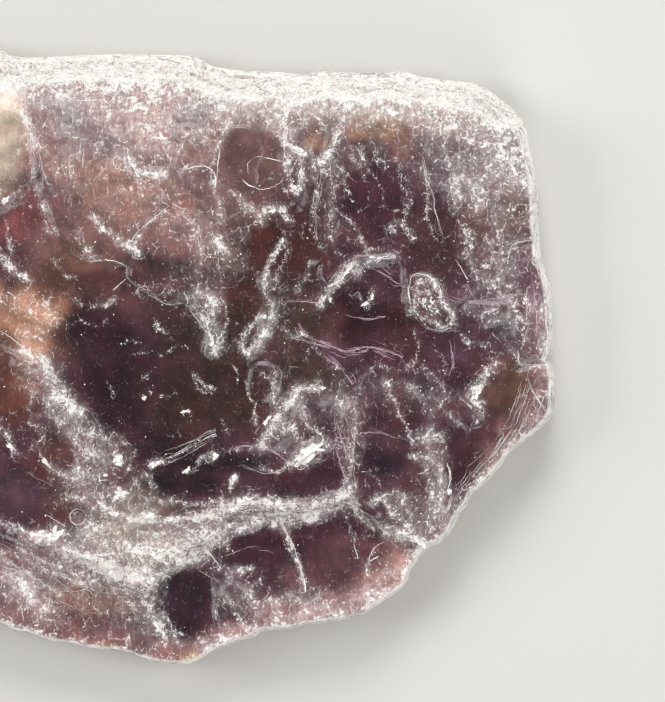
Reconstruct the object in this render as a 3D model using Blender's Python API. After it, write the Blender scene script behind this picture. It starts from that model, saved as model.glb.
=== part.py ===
"""A slab of lepidolite: one plate cleaved from a mica book, lying flat on its underside.

Metres, +Z up. The origin is under the middle of the slab's box, on the surface that it rests on.
The slab is one grown piece, so it is one object. Its outline, its ledges and its crusts are
placed by spots read from the photograph, and spot() turns those into metres on the slab.
"""

import math

import bmesh
import bpy
import numpy as np

# Driving dimensions of the slab
MM = 0.001
SLAB_WIDTH = 62.2 * MM  # across the slab, from its top edge to its bottom edge in the photograph
MID_LEVEL = 6.2 * MM  # height of the middle terrace above the resting face
TOP_EDGE_BEVEL = 2.5 * MM  # width of the sloping wall along the photograph's top edge
PLAIN_BEVEL = 0.7 * MM  # width of the worn edge elsewhere
FOOT_ROUNDING = 0.9 * MM  # how far the rim draws in at the resting face

# The photograph's frame: the slab's highest and lowest outline points, as pixel rows, and the
# middle of its box
OUTLINE_TOP_ROW = 43.0
OUTLINE_BOTTOM_ROW = 665.0
METRES_PER_PIXEL = SLAB_WIDTH / (OUTLINE_BOTTOM_ROW - OUTLINE_TOP_ROW)
MIDDLE_COLUMN = 182.84
MIDDLE_ROW = (OUTLINE_TOP_ROW + OUTLINE_BOTTOM_ROW) / 2

# Mesh fineness
RIM_STATIONS = 184
RELIEF_CELL = 0.5 * MM
RELIEF_SHARE_KEPT = 0.14
RELIEF_MARGIN = 1.5 * MM
BLOCK_DEPTH = 3.0 * MM
WALL_TOP = 9.5 * MM

# Rim outline, clockwise from the top left. Columns below zero are past the photograph's left
# edge, where the slab's end is a plain broken one.
OUTLINE = [
    (-28, 43), (0, 49.5), (11, 54.5), (33, 56.5), (74, 54.5), (113, 53), (152, 53.5), (186, 54.5),
    (200, 58), (213, 65), (243, 69.5), (282, 71), (305, 73.5), (320, 70.3), (364, 71.8),
    (388, 71.6), (397, 70.3), (408, 71.4), (425, 76), (461, 80.6), (475, 82.5), (487, 87.6),
    (503, 100), (514, 109.5), (525, 126), (529, 145), (537, 180), (539, 217), (541, 250),
    (545, 268), (550.5, 286), (553, 320), (553.5, 340), (552, 353), (549.5, 360), (553.5, 368),
    (555.4, 387), (555, 404), (551, 417), (541, 428), (529, 438), (511, 453), (500, 468),
    (483, 486), (472.5, 494), (469, 503), (460, 515), (452, 530), (443, 541.5), (428, 549),
    (417, 561), (410, 572), (407.5, 581), (399, 591), (386, 600), (376.5, 606), (364, 614.5),
    (344, 620), (320, 624), (303, 625.5), (288, 630), (264, 632), (255, 637), (234, 644),
    (217, 650), (204, 657.5), (195, 662.5), (186, 665), (163, 663.5), (145, 660), (130, 653.5),
    (118, 651), (91, 649), (72, 644), (52, 641.5), (41, 637), (28, 632.5), (19, 632),
    (0, 624), (-24, 617), (-38, 606), (-52, 602), (-74, 584), (-84, 566), (-104, 554),
    (-118, 534), (-127, 512), (-142, 500), (-154, 474), (-160, 450), (-173, 428), (-178, 398),
    (-177, 372), (-187, 350), (-190, 322), (-185, 296), (-187, 266), (-180, 236), (-172, 222),
    (-174, 196), (-162, 168), (-158, 146), (-144, 128), (-130, 98), (-112, 84), (-98, 62),
    (-80, 56), (-62, 46),
]

# Ledges: sheets of mica that end on the top face. Each raises, or with a minus lowers, what
# lies inside its line.
UPPER_SHEET = (0.62 * MM, [
    (40, 172), (46, 198), (56, 222), (70, 244), (86, 260), (108, 262), (129, 266), (131, 279),
    (150, 293), (170, 304), (195, 306), (203, 318), (207, 336), (210, 355), (221, 351),
    (225, 334), (233, 337), (240, 350), (251, 358), (262, 350), (272, 326), (276, 300),
    (287, 286), (299, 291), (307, 272), (319, 264), (324, 290), (339, 276), (357, 262),
    (392, 260), (403, 280), (405, 303), (428, 327), (449, 328), (451, 312), (463, 300),
    (487, 284), (502, 272), (522, 262), (575, 255), (600, 150), (560, 30), (300, 10),
    (0, 5), (-220, 20), (-240, 150), (-168, 160), (-120, 196), (-84, 190), (-40, 222), (10, 205),
])
LOWER_TERRACE = (-0.85 * MM, [
    (-240, 452), (-150, 476), (-70, 506), (0, 531), (28, 539), (54, 549), (82, 556), (112, 573),
    (142, 589), (168, 599), (190, 581), (216, 560), (242, 545), (268, 530), (304, 519),
    (345, 503), (372, 517), (402, 536), (430, 549), (480, 575), (470, 640), (350, 700),
    (150, 720), (-100, 700), (-260, 600),
])
CORNER_LEAF = (0.45 * MM, [
    (-92, 118), (-60, 84), (-26, 66), (2, 62), (18, 80), (29, 108), (36, 140), (37, 168),
    (30, 193), (14, 211), (-12, 220), (-46, 208), (-84, 168),
])
HEXAGON_LEAF = (0.3 * MM, [
    (405, 283), (420, 275), (438, 284), (441, 302), (451, 316), (449, 330), (428, 328), (409, 309),
])
EAST_LEAF = (0.35 * MM, [
    (466, 303), (490, 304), (511, 298), (531, 322), (545, 352), (528, 360), (516, 342),
    (510, 326), (503, 316), (487, 328), (470, 320),
])
TEARDROP_LEAF = (0.3 * MM, [
    (256, 366), (270, 364), (280, 376), (278, 392), (262, 400), (250, 390),
])
OLD_CRUST_LEAF = (0.3 * MM, [
    (178, 128), (222, 124), (252, 132), (262, 158), (250, 196), (232, 222), (206, 214), (188, 190),
    (178, 160),
])
SOUTH_WINDOW = (-0.4 * MM, [
    (154, 596), (170, 584), (192, 578), (208, 590), (212, 612), (206, 636), (190, 640),
    (172, 628), (158, 612),
])
SOUTH_LEAF = (0.35 * MM, [
    (214, 560), (262, 548), (290, 566), (298, 592), (292, 616), (262, 640), (226, 632), (216, 600),
])
WEST_SHEET = (0.4 * MM, [
    (-230, 262), (-120, 246), (-60, 258), (-24, 282), (-8, 322), (12, 352), (40, 362),
    (64, 384), (92, 414), (108, 440), (96, 470), (70, 488), (40, 476), (10, 452), (-30, 440),
    (-120, 436), (-230, 420),
])
LEDGES = [
    UPPER_SHEET, LOWER_TERRACE, CORNER_LEAF, HEXAGON_LEAF, EAST_LEAF, TEARDROP_LEAF,
    OLD_CRUST_LEAF, SOUTH_WINDOW, SOUTH_LEAF, WEST_SHEET,
]

# Striations: long straight sheet ends that step down towards the lower right rim
STRIATION_DROP = 0.24 * MM
STRIATIONS = [
    [(566, 372), (546, 402), (520, 440), (494, 484), (470, 522), (450, 570)],
    [(560, 352), (534, 392), (508, 440), (486, 478), (462, 512), (440, 560)],
    [(560, 330), (524, 388), (498, 436), (476, 472), (454, 504), (428, 560)],
]
FAR_PAST_THE_RIM = [(640, 620), (640, 300)]

# Crusts: lumpy ridges where torn sheets stand up. Each is a rise, a half width and the line
# that it follows.
CRUSTS = [
    (0.55 * MM, 0.8 * MM, [
        (-150, 474), (-104, 496), (-60, 508), (0, 526), (36, 540), (52, 543), (78, 556), (108, 568),
        (134, 578), (162, 592),
    ]),
    (0.60 * MM, 1.0 * MM, [
        (118, 560), (148, 556), (176, 552), (208, 540), (240, 524), (276, 510), (312, 506),
        (346, 496),
    ]),
    (0.50 * MM, 0.7 * MM, [(346, 496), (368, 508), (392, 526), (414, 536), (428, 545)]),
    (0.35 * MM, 0.7 * MM, [(110, 530), (140, 530), (168, 528), (190, 518)]),
    (0.50 * MM, 1.3 * MM, [(26, 362), (44, 372), (54, 388), (66, 402), (76, 414)]),
    (0.40 * MM, 1.1 * MM, [(88, 432), (98, 446), (94, 464), (80, 476)]),
    (0.60 * MM, 1.1 * MM, [(272, 440), (290, 432), (302, 420), (310, 402), (322, 392)]),
    (0.65 * MM, 0.9 * MM, [(300, 452), (316, 452), (326, 442)]),
    (0.40 * MM, 0.9 * MM, [(206, 300), (212, 322), (214, 346)]),
    (0.40 * MM, 0.8 * MM, [(268, 282), (270, 312), (260, 342)]),
    (0.40 * MM, 0.7 * MM, [(326, 290), (342, 276), (358, 264), (388, 260)]),
    (0.35 * MM, 0.8 * MM, [(298, 138), (306, 160), (304, 182), (300, 206)]),
    (0.35 * MM, 0.6 * MM, [(338, 118), (330, 146), (324, 168)]),
    (0.35 * MM, 0.8 * MM, [(118, 138), (134, 162), (150, 176), (168, 176)]),
    (0.50 * MM, 0.9 * MM, [(472, 396), (482, 384), (478, 408), (470, 418)]),
    (0.40 * MM, 0.8 * MM, [(418, 446), (440, 456), (444, 480), (446, 504)]),
    (0.35 * MM, 0.8 * MM, [(348, 400), (352, 428), (354, 452)]),
    (0.35 * MM, 0.9 * MM, [(228, 590), (250, 598), (272, 606), (262, 622)]),
    (0.40 * MM, 1.0 * MM, [(22, 580), (34, 600), (42, 614)]),
    (0.35 * MM, 0.9 * MM, [(488, 262), (502, 276), (512, 262)]),
    (0.35 * MM, 0.8 * MM, [(60, 118), (74, 104), (66, 136)]),
    (0.45 * MM, 1.1 * MM, [(-120, 300), (-96, 322), (-92, 352)]),
    (0.40 * MM, 0.9 * MM, [(-100, 420), (-70, 428), (-44, 418)]),
]
CRUST_LUMP = 2.6 * MM  # size of the lumps along a crust
GROOVE_DEPTH = 0.45 * MM
GROOVE_HALF_WIDTH = 0.5 * MM
GROOVES = [
    [(562, 361), (546, 362), (528, 364), (516, 368)],
    [(560, 243), (532, 243), (518, 247), (508, 258)],
]
# Pits: the middle and the radius of each
PIT_DEPTH = 0.45 * MM
PITS = [
    ((42, 418), 0.7 * MM), ((384, 494), 1.3 * MM), ((124, 446), 0.8 * MM), ((506, 328), 0.7 * MM),
    ((296, 376), 0.6 * MM), ((150, 528), 0.6 * MM), ((380, 464), 1.5 * MM),
]

# Recesses where sheets have come off the underside, which leave the middle flat to rest on
UNDERSIDE_RECESSES = [
    (0.50 * MM, [(300, 20), (420, 96), (476, 150), (520, 168), (600, 120), (560, 20)]),
    (0.35 * MM, [
        (-240, 300), (-150, 330), (-96, 392), (-110, 470), (-60, 540), (-140, 620), (-260, 560),
    ]),
    (0.45 * MM, [(330, 700), (352, 600), (404, 552), (470, 540), (560, 600), (470, 700)]),
]
RISER_HALF_WIDTH = 0.22 * MM  # half the width of the slope where a sheet ends

# The uneven cleavage: how high it swells over a broad and a short distance, and how far a
# torn sheet's edge wanders
BROAD_SWELL = (0.22 * MM, 30 * MM)
SHORT_SWELL = (0.07 * MM, 8 * MM)
TORN_EDGE = (0.35 * MM, 3.2 * MM)
HEIGHT_DIGITS = 7

# The rim is a few bundles of sheets: the height where each one ends, the foot first. The
# second bundle stands out furthest.
BUNDLE_TOPS = [1.6 * MM, 3.2 * MM, 4.7 * MM, WALL_TOP]
BUNDLE_STEP = 0.09 * MM
WIDEST_BUNDLE = 1
WIDEST_LEVEL = 1.7 * MM
BUNDLE_WANDER = (0.2 * MM, 7 * MM)

SLAB_COLOUR = (0.20, 0.125, 0.15, 1.0)
SLAB_ROUGHNESS = 0.45


def spot(points):
    """Spots of the photograph, in pixels, as metres on the slab."""
    place = np.asarray(points, float).reshape(-1, 2)
    from_middle = np.column_stack([place[:, 0] - MIDDLE_COLUMN, MIDDLE_ROW - place[:, 1]])
    return from_middle * METRES_PER_PIXEL


def smooth_line(points, closed, pieces=4):
    """A Catmull-Rom curve through the points, with this many pieces to each stretch."""
    ends = points if closed else np.vstack([points[:1], points, points[-1:]])
    count = len(points) if closed else len(points) - 1
    found = []
    for i in range(count):
        if closed:
            a, b, c, d = (points[(i + k) % len(points)] for k in (-1, 0, 1, 2))
        else:
            a, b, c, d = ends[i : i + 4]
        for t in np.arange(pieces) / pieces:
            squared = (2 * a - 5 * b + 4 * c - d) * t**2
            cubed = (3 * b - a - 3 * c + d) * t**3
            found.append(0.5 * (2 * b + (c - a) * t + squared + cubed))
    if not closed:
        found.append(points[-1])
    return np.array(found)


def distance_to_line(place, line, closed):
    """Distance from each place to a line of points."""
    ends = np.roll(line, -1, axis=0) if closed else line[1:]
    nearest = np.full(len(place), np.inf)
    for start, end in zip(line, ends):
        along = end - start
        share = np.clip(((place - start) @ along) / max(along @ along, 1e-18), 0, 1)
        away = np.linalg.norm(place - start - share[:, None] * along, axis=1)
        nearest = np.minimum(nearest, away)
    return nearest


def inside(place, line):
    """True for each place that a closed line goes round."""
    within = np.zeros(len(place), bool)
    for (x0, y0), (x1, y1) in zip(line, np.roll(line, -1, axis=0)):
        if y0 == y1:
            continue
        crosses = (y0 > place[:, 1]) != (y1 > place[:, 1])
        within ^= crosses & (place[:, 0] < x0 + (place[:, 1] - y0) * (x1 - x0) / (y1 - y0))
    return within


def swell(place, wavelength, seed):
    """A smooth wandering value, mostly from -1 to 1, made of plane waves of about this length."""
    random = np.random.default_rng(seed)
    total = np.zeros(len(place))
    waves = 9
    for _ in range(waves):
        heading = random.uniform(0, math.tau)
        length = wavelength * random.uniform(0.7, 1.5)
        phase = random.uniform(0, math.tau)
        across = place @ np.array([math.cos(heading), math.sin(heading)])
        total += np.sin(across * math.tau / length + phase)
    return total / (1.6 * math.sqrt(waves))


def ease(low, high, value):
    """0 below low, 1 above high, and a smooth change between them."""
    t = np.clip((value - low) / (high - low), 0, 1)
    return t * t * (3 - 2 * t)


def sheet_step(depth):
    """0 outside a sheet's edge and 1 inside it, from the depth inside the edge."""
    return ease(-RISER_HALF_WIDTH, RISER_HALF_WIDTH, depth)


def top_height(place):
    """Height of the top face over each place, in metres above the resting face."""
    height = np.full(len(place), MID_LEVEL)
    for seed, (rise, wavelength) in enumerate((BROAD_SWELL, SHORT_SWELL), start=4):
        height += rise * swell(place, wavelength, seed)
    wander, wavelength = TORN_EDGE
    shift = np.column_stack([swell(place, wavelength, 6), swell(place, wavelength, 7)])
    ragged = place + wander * shift
    for lift, points in LEDGES:
        line = smooth_line(spot(points), closed=True)
        side = np.where(inside(ragged, line), 1, -1)
        height += lift * sheet_step(distance_to_line(ragged, line, closed=True) * side)
    for points in STRIATIONS:
        line = smooth_line(spot(points), closed=False)
        side = np.where(inside(place, np.vstack([line, spot(FAR_PAST_THE_RIM)])), 1, -1)
        height -= STRIATION_DROP * sheet_step(distance_to_line(place, line, closed=False) * side)
    lumps = 0.72 + 0.5 * swell(place, CRUST_LUMP, 8)
    for rise, half_width, points in CRUSTS:
        away = distance_to_line(ragged, smooth_line(spot(points), closed=False), closed=False)
        height += rise * lumps * (1 - ease(0.25, 1.25, away / half_width))
    for points in GROOVES:
        away = distance_to_line(place, smooth_line(spot(points), closed=False), closed=False)
        height -= GROOVE_DEPTH * (1 - ease(0.1, 1.0, away / GROOVE_HALF_WIDTH))
    for middle, radius in PITS:
        away = np.linalg.norm(ragged - spot([middle]), axis=1)
        height -= PIT_DEPTH * (1 - ease(0.5, 1.2, away / radius))
    return np.round(height, HEIGHT_DIGITS)


def even_stations(line, count):
    """The closed line as this many points, evenly spaced along it."""
    ring = np.vstack([line, line[:1]])
    run = np.concatenate([[0], np.cumsum(np.linalg.norm(np.diff(ring, axis=0), axis=1))])
    at = np.linspace(0, run[-1], count, endpoint=False)
    return np.column_stack([np.interp(at, run, ring[:, 0]), np.interp(at, run, ring[:, 1])])


def outward(ring):
    """Unit outward normals of a ring of points that runs clockwise seen from above."""
    along = np.roll(ring, -2, axis=0) - np.roll(ring, 2, axis=0)
    normal = np.column_stack([-along[:, 1], along[:, 0]])
    return normal / np.linalg.norm(normal, axis=1)[:, None]


def rim_rows():
    """The rim's rows from the foot up, as each row's height and the bundle it belongs to."""
    rows = [(0.0, 0), (BUNDLE_TOPS[0] / 3, 0)]
    bottom = 0.0
    for bundle, top in enumerate(BUNDLE_TOPS):
        if bundle:
            rows.append((bottom + BUNDLE_STEP, bundle))
        rows.append((top, bundle))
        bottom = top
    rows.insert(-1, (MID_LEVEL, len(BUNDLE_TOPS) - 1))
    return rows


def rim_inset(height, bundle, ring, normal):
    """How far the rim is drawn in from the outline at this height, at each station."""
    faces_top_edge = ease(0.25, 0.85, normal[:, 1])
    bevel = PLAIN_BEVEL + (TOP_EDGE_BEVEL - PLAIN_BEVEL) * faces_top_edge
    rise = max(height - WIDEST_LEVEL, 0) / (MID_LEVEL - WIDEST_LEVEL)
    drop = max(WIDEST_LEVEL - height, 0) / WIDEST_LEVEL
    inset = bevel * rise ** (3.0 - 1.7 * faces_top_edge) + FOOT_ROUNDING * drop**2
    if bundle != WIDEST_BUNDLE:
        wander, wavelength = BUNDLE_WANDER
        inset += wander * (1 + swell(ring, wavelength, 20 + bundle))
    return inset


def new_object(name, mesh_source):
    mesh = bpy.data.meshes.new(name)
    bmesh.ops.recalc_face_normals(mesh_source, faces=mesh_source.faces)
    mesh_source.to_mesh(mesh)
    mesh_source.free()
    made = bpy.data.objects.new(name, mesh)
    bpy.context.scene.collection.objects.link(made)
    return made


def as_helper(made):
    made.hide_render = True
    made.display_type = "WIRE"
    return made


def set_heights(extruded, height):
    """Put the vertices that an extrusion made at this height."""
    for item in extruded["geom"]:
        if isinstance(item, bmesh.types.BMVert):
            item.co.z = height


def rim_body():
    """The slab's outline as a body with a bundled, worn rim, and a flat foot at height 0."""
    ring = even_stations(smooth_line(spot(OUTLINE), closed=True), RIM_STATIONS)
    normal = outward(ring)
    body = bmesh.new()
    rows = []
    for height, bundle in rim_rows():
        place = ring - normal * rim_inset(height, bundle, ring, normal)[:, None]
        rows.append([body.verts.new((x, y, height)) for x, y in place])
    for lower, upper in zip(rows, rows[1:]):
        for i in range(RIM_STATIONS):
            j = (i + 1) % RIM_STATIONS
            body.faces.new((lower[i], lower[j], upper[j], upper[i]))
    body.faces.new(rows[0])
    body.faces.new(rows[-1])
    return new_object("lepidolite_slab", body)


def relief_block():
    """A block whose top is the slab's top face. What it shares with the rim body is the slab."""
    line = spot(OUTLINE)
    low = line.min(axis=0) - RELIEF_MARGIN
    size = line.max(axis=0) + RELIEF_MARGIN - low
    columns, rows = (int(cells) for cells in np.ceil(size / RELIEF_CELL))
    block = bmesh.new()
    bmesh.ops.create_grid(block, x_segments=columns, y_segments=rows, size=0.5)
    place = low + (np.array([vertex.co[:2] for vertex in block.verts]) + 0.5) * size
    for vertex, (x, y), z in zip(block.verts, place, top_height(place)):
        vertex.co = (x, y, z)
    border = [edge for edge in block.edges if edge.is_boundary]
    set_heights(bmesh.ops.extrude_edge_only(block, edges=border), -BLOCK_DEPTH)
    foot = [edge for edge in block.edges if edge.is_boundary]
    bmesh.ops.contextual_create(block, geom=foot)
    made = as_helper(new_object("relief_block", block))
    thinned = made.modifiers.new("fewer faces", "DECIMATE")
    thinned.ratio = RELIEF_SHARE_KEPT
    return made


def underside_recess(number, depth, points):
    """A shallow cutter that takes some sheets off the underside."""
    line = smooth_line(spot(points), closed=True, pieces=3)
    cutter = bmesh.new()
    face = cutter.faces.new([cutter.verts.new((x, y, -BLOCK_DEPTH)) for x, y in line])
    set_heights(bmesh.ops.extrude_face_region(cutter, geom=[face]), depth)
    return as_helper(new_object(f"underside_recess_{number}", cutter))


def combine(slab, other, operation):
    cut = slab.modifiers.new(other.name, "BOOLEAN")
    cut.operation = operation
    cut.object = other
    cut.solver = "EXACT"


def mica_material():
    made = bpy.data.materials.new("plum mica")
    made.use_nodes = True
    shader = made.node_tree.nodes["Principled BSDF"]
    shader.inputs["Base Color"].default_value = SLAB_COLOUR
    shader.inputs["Roughness"].default_value = SLAB_ROUGHNESS
    shader.inputs["Metallic"].default_value = 0.0
    made.diffuse_color = SLAB_COLOUR
    return made


def main():
    for item in list(bpy.data.objects):
        bpy.data.objects.remove(item)
    slab = rim_body()
    combine(slab, relief_block(), "INTERSECT")
    for number, (depth, points) in enumerate(UNDERSIDE_RECESSES, start=1):
        combine(slab, underside_recess(number, depth, points), "DIFFERENCE")
    slab.data.materials.append(mica_material())


main()
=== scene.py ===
"""The looks of a cleaved lepidolite slab: plum mica sheets, torn white frost, a layered rim.

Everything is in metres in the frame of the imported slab. Places on the slab are spots of the
photograph, in pixels of its 665 by 702 frame, and spot() turns them into metres.
"""

import math

import bmesh
import bpy
import numpy as np
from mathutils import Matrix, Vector, bvhtree


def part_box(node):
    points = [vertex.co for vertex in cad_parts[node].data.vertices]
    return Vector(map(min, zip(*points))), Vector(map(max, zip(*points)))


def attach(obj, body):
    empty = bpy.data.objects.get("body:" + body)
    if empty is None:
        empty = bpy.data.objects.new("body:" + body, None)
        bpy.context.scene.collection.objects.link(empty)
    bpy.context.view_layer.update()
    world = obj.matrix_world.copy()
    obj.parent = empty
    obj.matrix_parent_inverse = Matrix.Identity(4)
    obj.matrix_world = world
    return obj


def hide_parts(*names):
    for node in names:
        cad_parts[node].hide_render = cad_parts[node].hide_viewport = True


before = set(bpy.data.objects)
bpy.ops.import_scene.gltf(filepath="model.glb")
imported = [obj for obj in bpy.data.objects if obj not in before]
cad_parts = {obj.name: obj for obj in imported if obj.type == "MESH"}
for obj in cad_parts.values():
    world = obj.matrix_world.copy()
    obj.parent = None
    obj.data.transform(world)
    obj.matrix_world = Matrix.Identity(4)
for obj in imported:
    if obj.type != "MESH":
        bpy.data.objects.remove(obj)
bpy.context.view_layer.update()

MM = 0.001
NODE = "lepidolite_slab"
BODY = "root"
slab_low, slab_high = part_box(NODE)

# The photograph's frame: its size, and the slab's outline rows and the middle of its box in it
PHOTO_WIDTH = 665
PHOTO_HEIGHT = 702
OUTLINE_TOP_ROW = 43.0
OUTLINE_BOTTOM_ROW = 665.0
METRES_PER_PIXEL = (slab_high.y - slab_low.y) / (OUTLINE_BOTTOM_ROW - OUTLINE_TOP_ROW)
MIDDLE_COLUMN = 182.84
MIDDLE_ROW = (OUTLINE_TOP_ROW + OUTLINE_BOTTOM_ROW) / 2

# Heights and edge widths, as in the solid
MID_LEVEL = 6.2 * MM
TOP_EDGE_BEVEL = 2.5 * MM
PLAIN_BEVEL = 0.7 * MM
FOOT_ROUNDING = 0.9 * MM
WIDEST_LEVEL = 1.7 * MM
RISER_HALF_WIDTH = 0.16 * MM
TOP_EDGE_FACING = (0.25, 0.85)
PLAIN_CURVE = 3.0
TOP_EDGE_CURVE = 1.3
RIM_DROP = 0.06 * MM
RIM_ROUNDING = 0.5 * MM

OUTLINE = [
    (-28, 43), (0, 49.5), (11, 54.5), (33, 56.5), (74, 54.5), (113, 53), (152, 53.5), (186, 54.5),
    (200, 58), (213, 65), (243, 69.5), (282, 71), (305, 73.5), (320, 70.3), (364, 71.8),
    (388, 71.6), (397, 70.3), (408, 71.4), (425, 76), (461, 80.6), (475, 82.5), (487, 87.6),
    (503, 100), (514, 109.5), (525, 126), (529, 145), (537, 180), (539, 217), (541, 250),
    (545, 268), (550.5, 286), (553, 320), (553.5, 340), (552, 353), (549.5, 360), (553.5, 368),
    (555.4, 387), (555, 404), (551, 417), (541, 428), (529, 438), (511, 453), (500, 468),
    (483, 486), (472.5, 494), (469, 503), (460, 515), (452, 530), (443, 541.5), (428, 549),
    (417, 561), (410, 572), (407.5, 581), (399, 591), (386, 600), (376.5, 606), (364, 614.5),
    (344, 620), (320, 624), (303, 625.5), (288, 630), (264, 632), (255, 637), (234, 644),
    (217, 650), (204, 657.5), (195, 662.5), (186, 665), (163, 663.5), (145, 660), (130, 653.5),
    (118, 651), (91, 649), (72, 644), (52, 641.5), (41, 637), (28, 632.5), (19, 632),
    (0, 624), (-24, 617), (-38, 606), (-52, 602), (-74, 584), (-84, 566), (-104, 554),
    (-118, 534), (-127, 512), (-142, 500), (-154, 474), (-160, 450), (-173, 428), (-178, 398),
    (-177, 372), (-187, 350), (-190, 322), (-185, 296), (-187, 266), (-180, 236), (-172, 222),
    (-174, 196), (-162, 168), (-158, 146), (-144, 128), (-130, 98), (-112, 84), (-98, 62),
    (-80, 56), (-62, 46),
]
FIRST_CORNER = (-98, 62)

# Ledges: sheets of mica that end on the top face, as a rise in mm and a closed line
LEDGES = [
    (0.5, [
        (40, 172), (46, 198), (56, 222), (70, 244), (86, 260), (108, 262), (129, 266), (131, 279),
        (150, 293), (170, 304), (195, 306), (203, 318), (207, 336), (210, 355), (221, 351),
        (225, 334), (233, 337), (240, 350), (251, 358), (262, 350), (272, 326), (276, 300),
        (287, 286), (299, 291), (307, 272), (319, 264), (324, 290), (339, 276), (357, 262),
        (392, 260), (403, 280), (405, 303), (428, 327), (449, 328), (451, 312), (463, 300),
        (487, 284), (502, 272), (522, 262), (575, 255), (600, 150), (560, 30), (300, 10),
        (0, 5), (-220, 20), (-240, 150), (-168, 160), (-120, 196), (-84, 190), (-40, 222),
        (10, 205),
    ]),
    (-0.85, [
        (-240, 452), (-150, 476), (-70, 506), (0, 531), (28, 539), (54, 549), (82, 556),
        (112, 573), (142, 590), (158, 582), (176, 565), (198, 548), (214, 532), (232, 519),
        (256, 511), (290, 513), (345, 503), (372, 517), (402, 536), (430, 549), (480, 575),
        (470, 640),
        (350, 700), (150, 720), (-100, 700), (-260, 600),
    ]),
    (0.45, [
        (-92, 118), (-60, 84), (-26, 66), (2, 62), (18, 80), (29, 108), (36, 140), (37, 168),
        (30, 193), (14, 211), (-12, 220), (-46, 208), (-84, 168),
    ]),
    (0.3, [
        (405, 283), (420, 275), (438, 284), (441, 302), (451, 316), (449, 330), (428, 328),
        (409, 309),
    ]),
    (0.35, [
        (466, 303), (490, 304), (511, 298), (531, 322), (545, 352), (528, 360), (516, 342),
        (510, 326), (503, 316), (487, 328), (470, 320),
    ]),
    (0.3, [(256, 366), (270, 364), (280, 376), (278, 392), (262, 400), (250, 390)]),
    (0.3, [
        (178, 128), (222, 124), (252, 132), (262, 158), (250, 196), (232, 222), (206, 214),
        (188, 190), (178, 160),
    ]),
    (-0.12, [
        (150, 594), (164, 574), (190, 564), (212, 578), (217, 606), (208, 636), (190, 642),
        (172, 630), (158, 614),
    ]),
    (0.12, [
        (214, 560), (262, 548), (290, 566), (298, 592), (292, 616), (262, 640), (226, 632),
        (216, 600),
    ]),
    (0.4, [
        (-230, 262), (-120, 246), (-60, 258), (-24, 282), (-8, 322), (12, 352), (40, 362),
        (64, 384), (92, 414), (108, 440), (96, 470), (70, 488), (40, 476), (10, 452), (-30, 440),
        (-120, 436), (-230, 420),
    ]),
]

# Striations: fine steps down along the rim on the right
STRIATION_DROP = 0.24 * MM
STRIATIONS = [
    [(566, 372), (546, 402), (520, 440), (494, 484), (470, 522), (450, 570)],
    [(560, 352), (534, 392), (508, 440), (486, 478), (462, 512), (440, 560)],
    [(560, 330), (524, 388), (498, 436), (476, 472), (454, 504), (428, 560)],
]
FAR_PAST_THE_RIM = [(640, 620), (640, 300)]

# Crusts: lumpy ridges of torn sheets, as a rise and a half width in mm, and a line
CRUSTS = [
    (0.55, 0.8, [
        (-150, 474), (-104, 496), (-60, 508), (0, 526), (36, 540), (52, 543), (78, 556), (108, 568),
        (134, 578), (162, 592),
    ]),
    (0.60, 1.0, [
        (118, 560), (148, 556), (176, 552), (208, 540), (240, 524), (276, 510), (312, 506),
        (346, 496),
    ]),
    (0.50, 0.7, [(346, 496), (368, 508), (392, 526), (414, 536), (428, 545)]),
    (0.35, 0.7, [(110, 530), (140, 530), (168, 528), (190, 518)]),
    (0.50, 1.3, [(26, 362), (44, 372), (54, 388), (66, 402), (76, 414)]),
    (0.40, 1.1, [(88, 432), (98, 446), (94, 464), (80, 476)]),
    (0.60, 1.1, [(272, 440), (290, 432), (302, 420), (310, 402), (322, 392)]),
    (0.65, 0.9, [(300, 452), (316, 452), (326, 442)]),
    (0.40, 0.9, [(206, 300), (212, 322), (214, 346)]),
    (0.40, 0.8, [(268, 282), (270, 312), (260, 342)]),
    (0.40, 0.7, [(326, 290), (342, 276), (358, 264), (388, 260)]),
    (0.35, 0.8, [(298, 138), (306, 160), (304, 182), (300, 206)]),
    (0.35, 0.6, [(338, 118), (330, 146), (324, 168)]),
    (0.35, 0.8, [(118, 138), (134, 162), (150, 176), (168, 176)]),
    (0.50, 0.9, [(472, 396), (482, 384), (478, 408), (470, 418)]),
    (0.40, 0.8, [(418, 446), (440, 456), (444, 480), (446, 504)]),
    (0.35, 0.8, [(348, 400), (352, 428), (354, 452)]),
    (0.35, 0.9, [(228, 590), (250, 598), (272, 606), (262, 622)]),
    (0.40, 1.0, [(22, 580), (34, 600), (42, 614)]),
    (0.35, 0.9, [(488, 262), (502, 276), (512, 262)]),
    (0.35, 0.8, [(60, 118), (74, 104), (66, 136)]),
    (0.45, 1.1, [(-120, 300), (-96, 322), (-92, 352)]),
    (0.40, 0.9, [(-100, 420), (-70, 428), (-44, 418)]),
]
LUMPINESS = (0.72, 0.5)

# Grooves across the rim on the right, and pits
GROOVE_DEPTH = 0.45 * MM
GROOVE_HALF_WIDTH = 0.5 * MM
GROOVES = [
    [(562, 361), (546, 362), (528, 364), (516, 368)],
    [(560, 243), (532, 243), (518, 247), (508, 258)],
]
PIT_DEPTH = 0.15 * MM
# Pits, as the middle in pixels and a radius in mm
PITS = [
    ((42, 418), 0.7), ((384, 494), 1.3), ((124, 446), 0.8), ((506, 328), 0.7),
    ((296, 376), 0.6), ((150, 528), 0.6), ((380, 464), 1.5),
]

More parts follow.
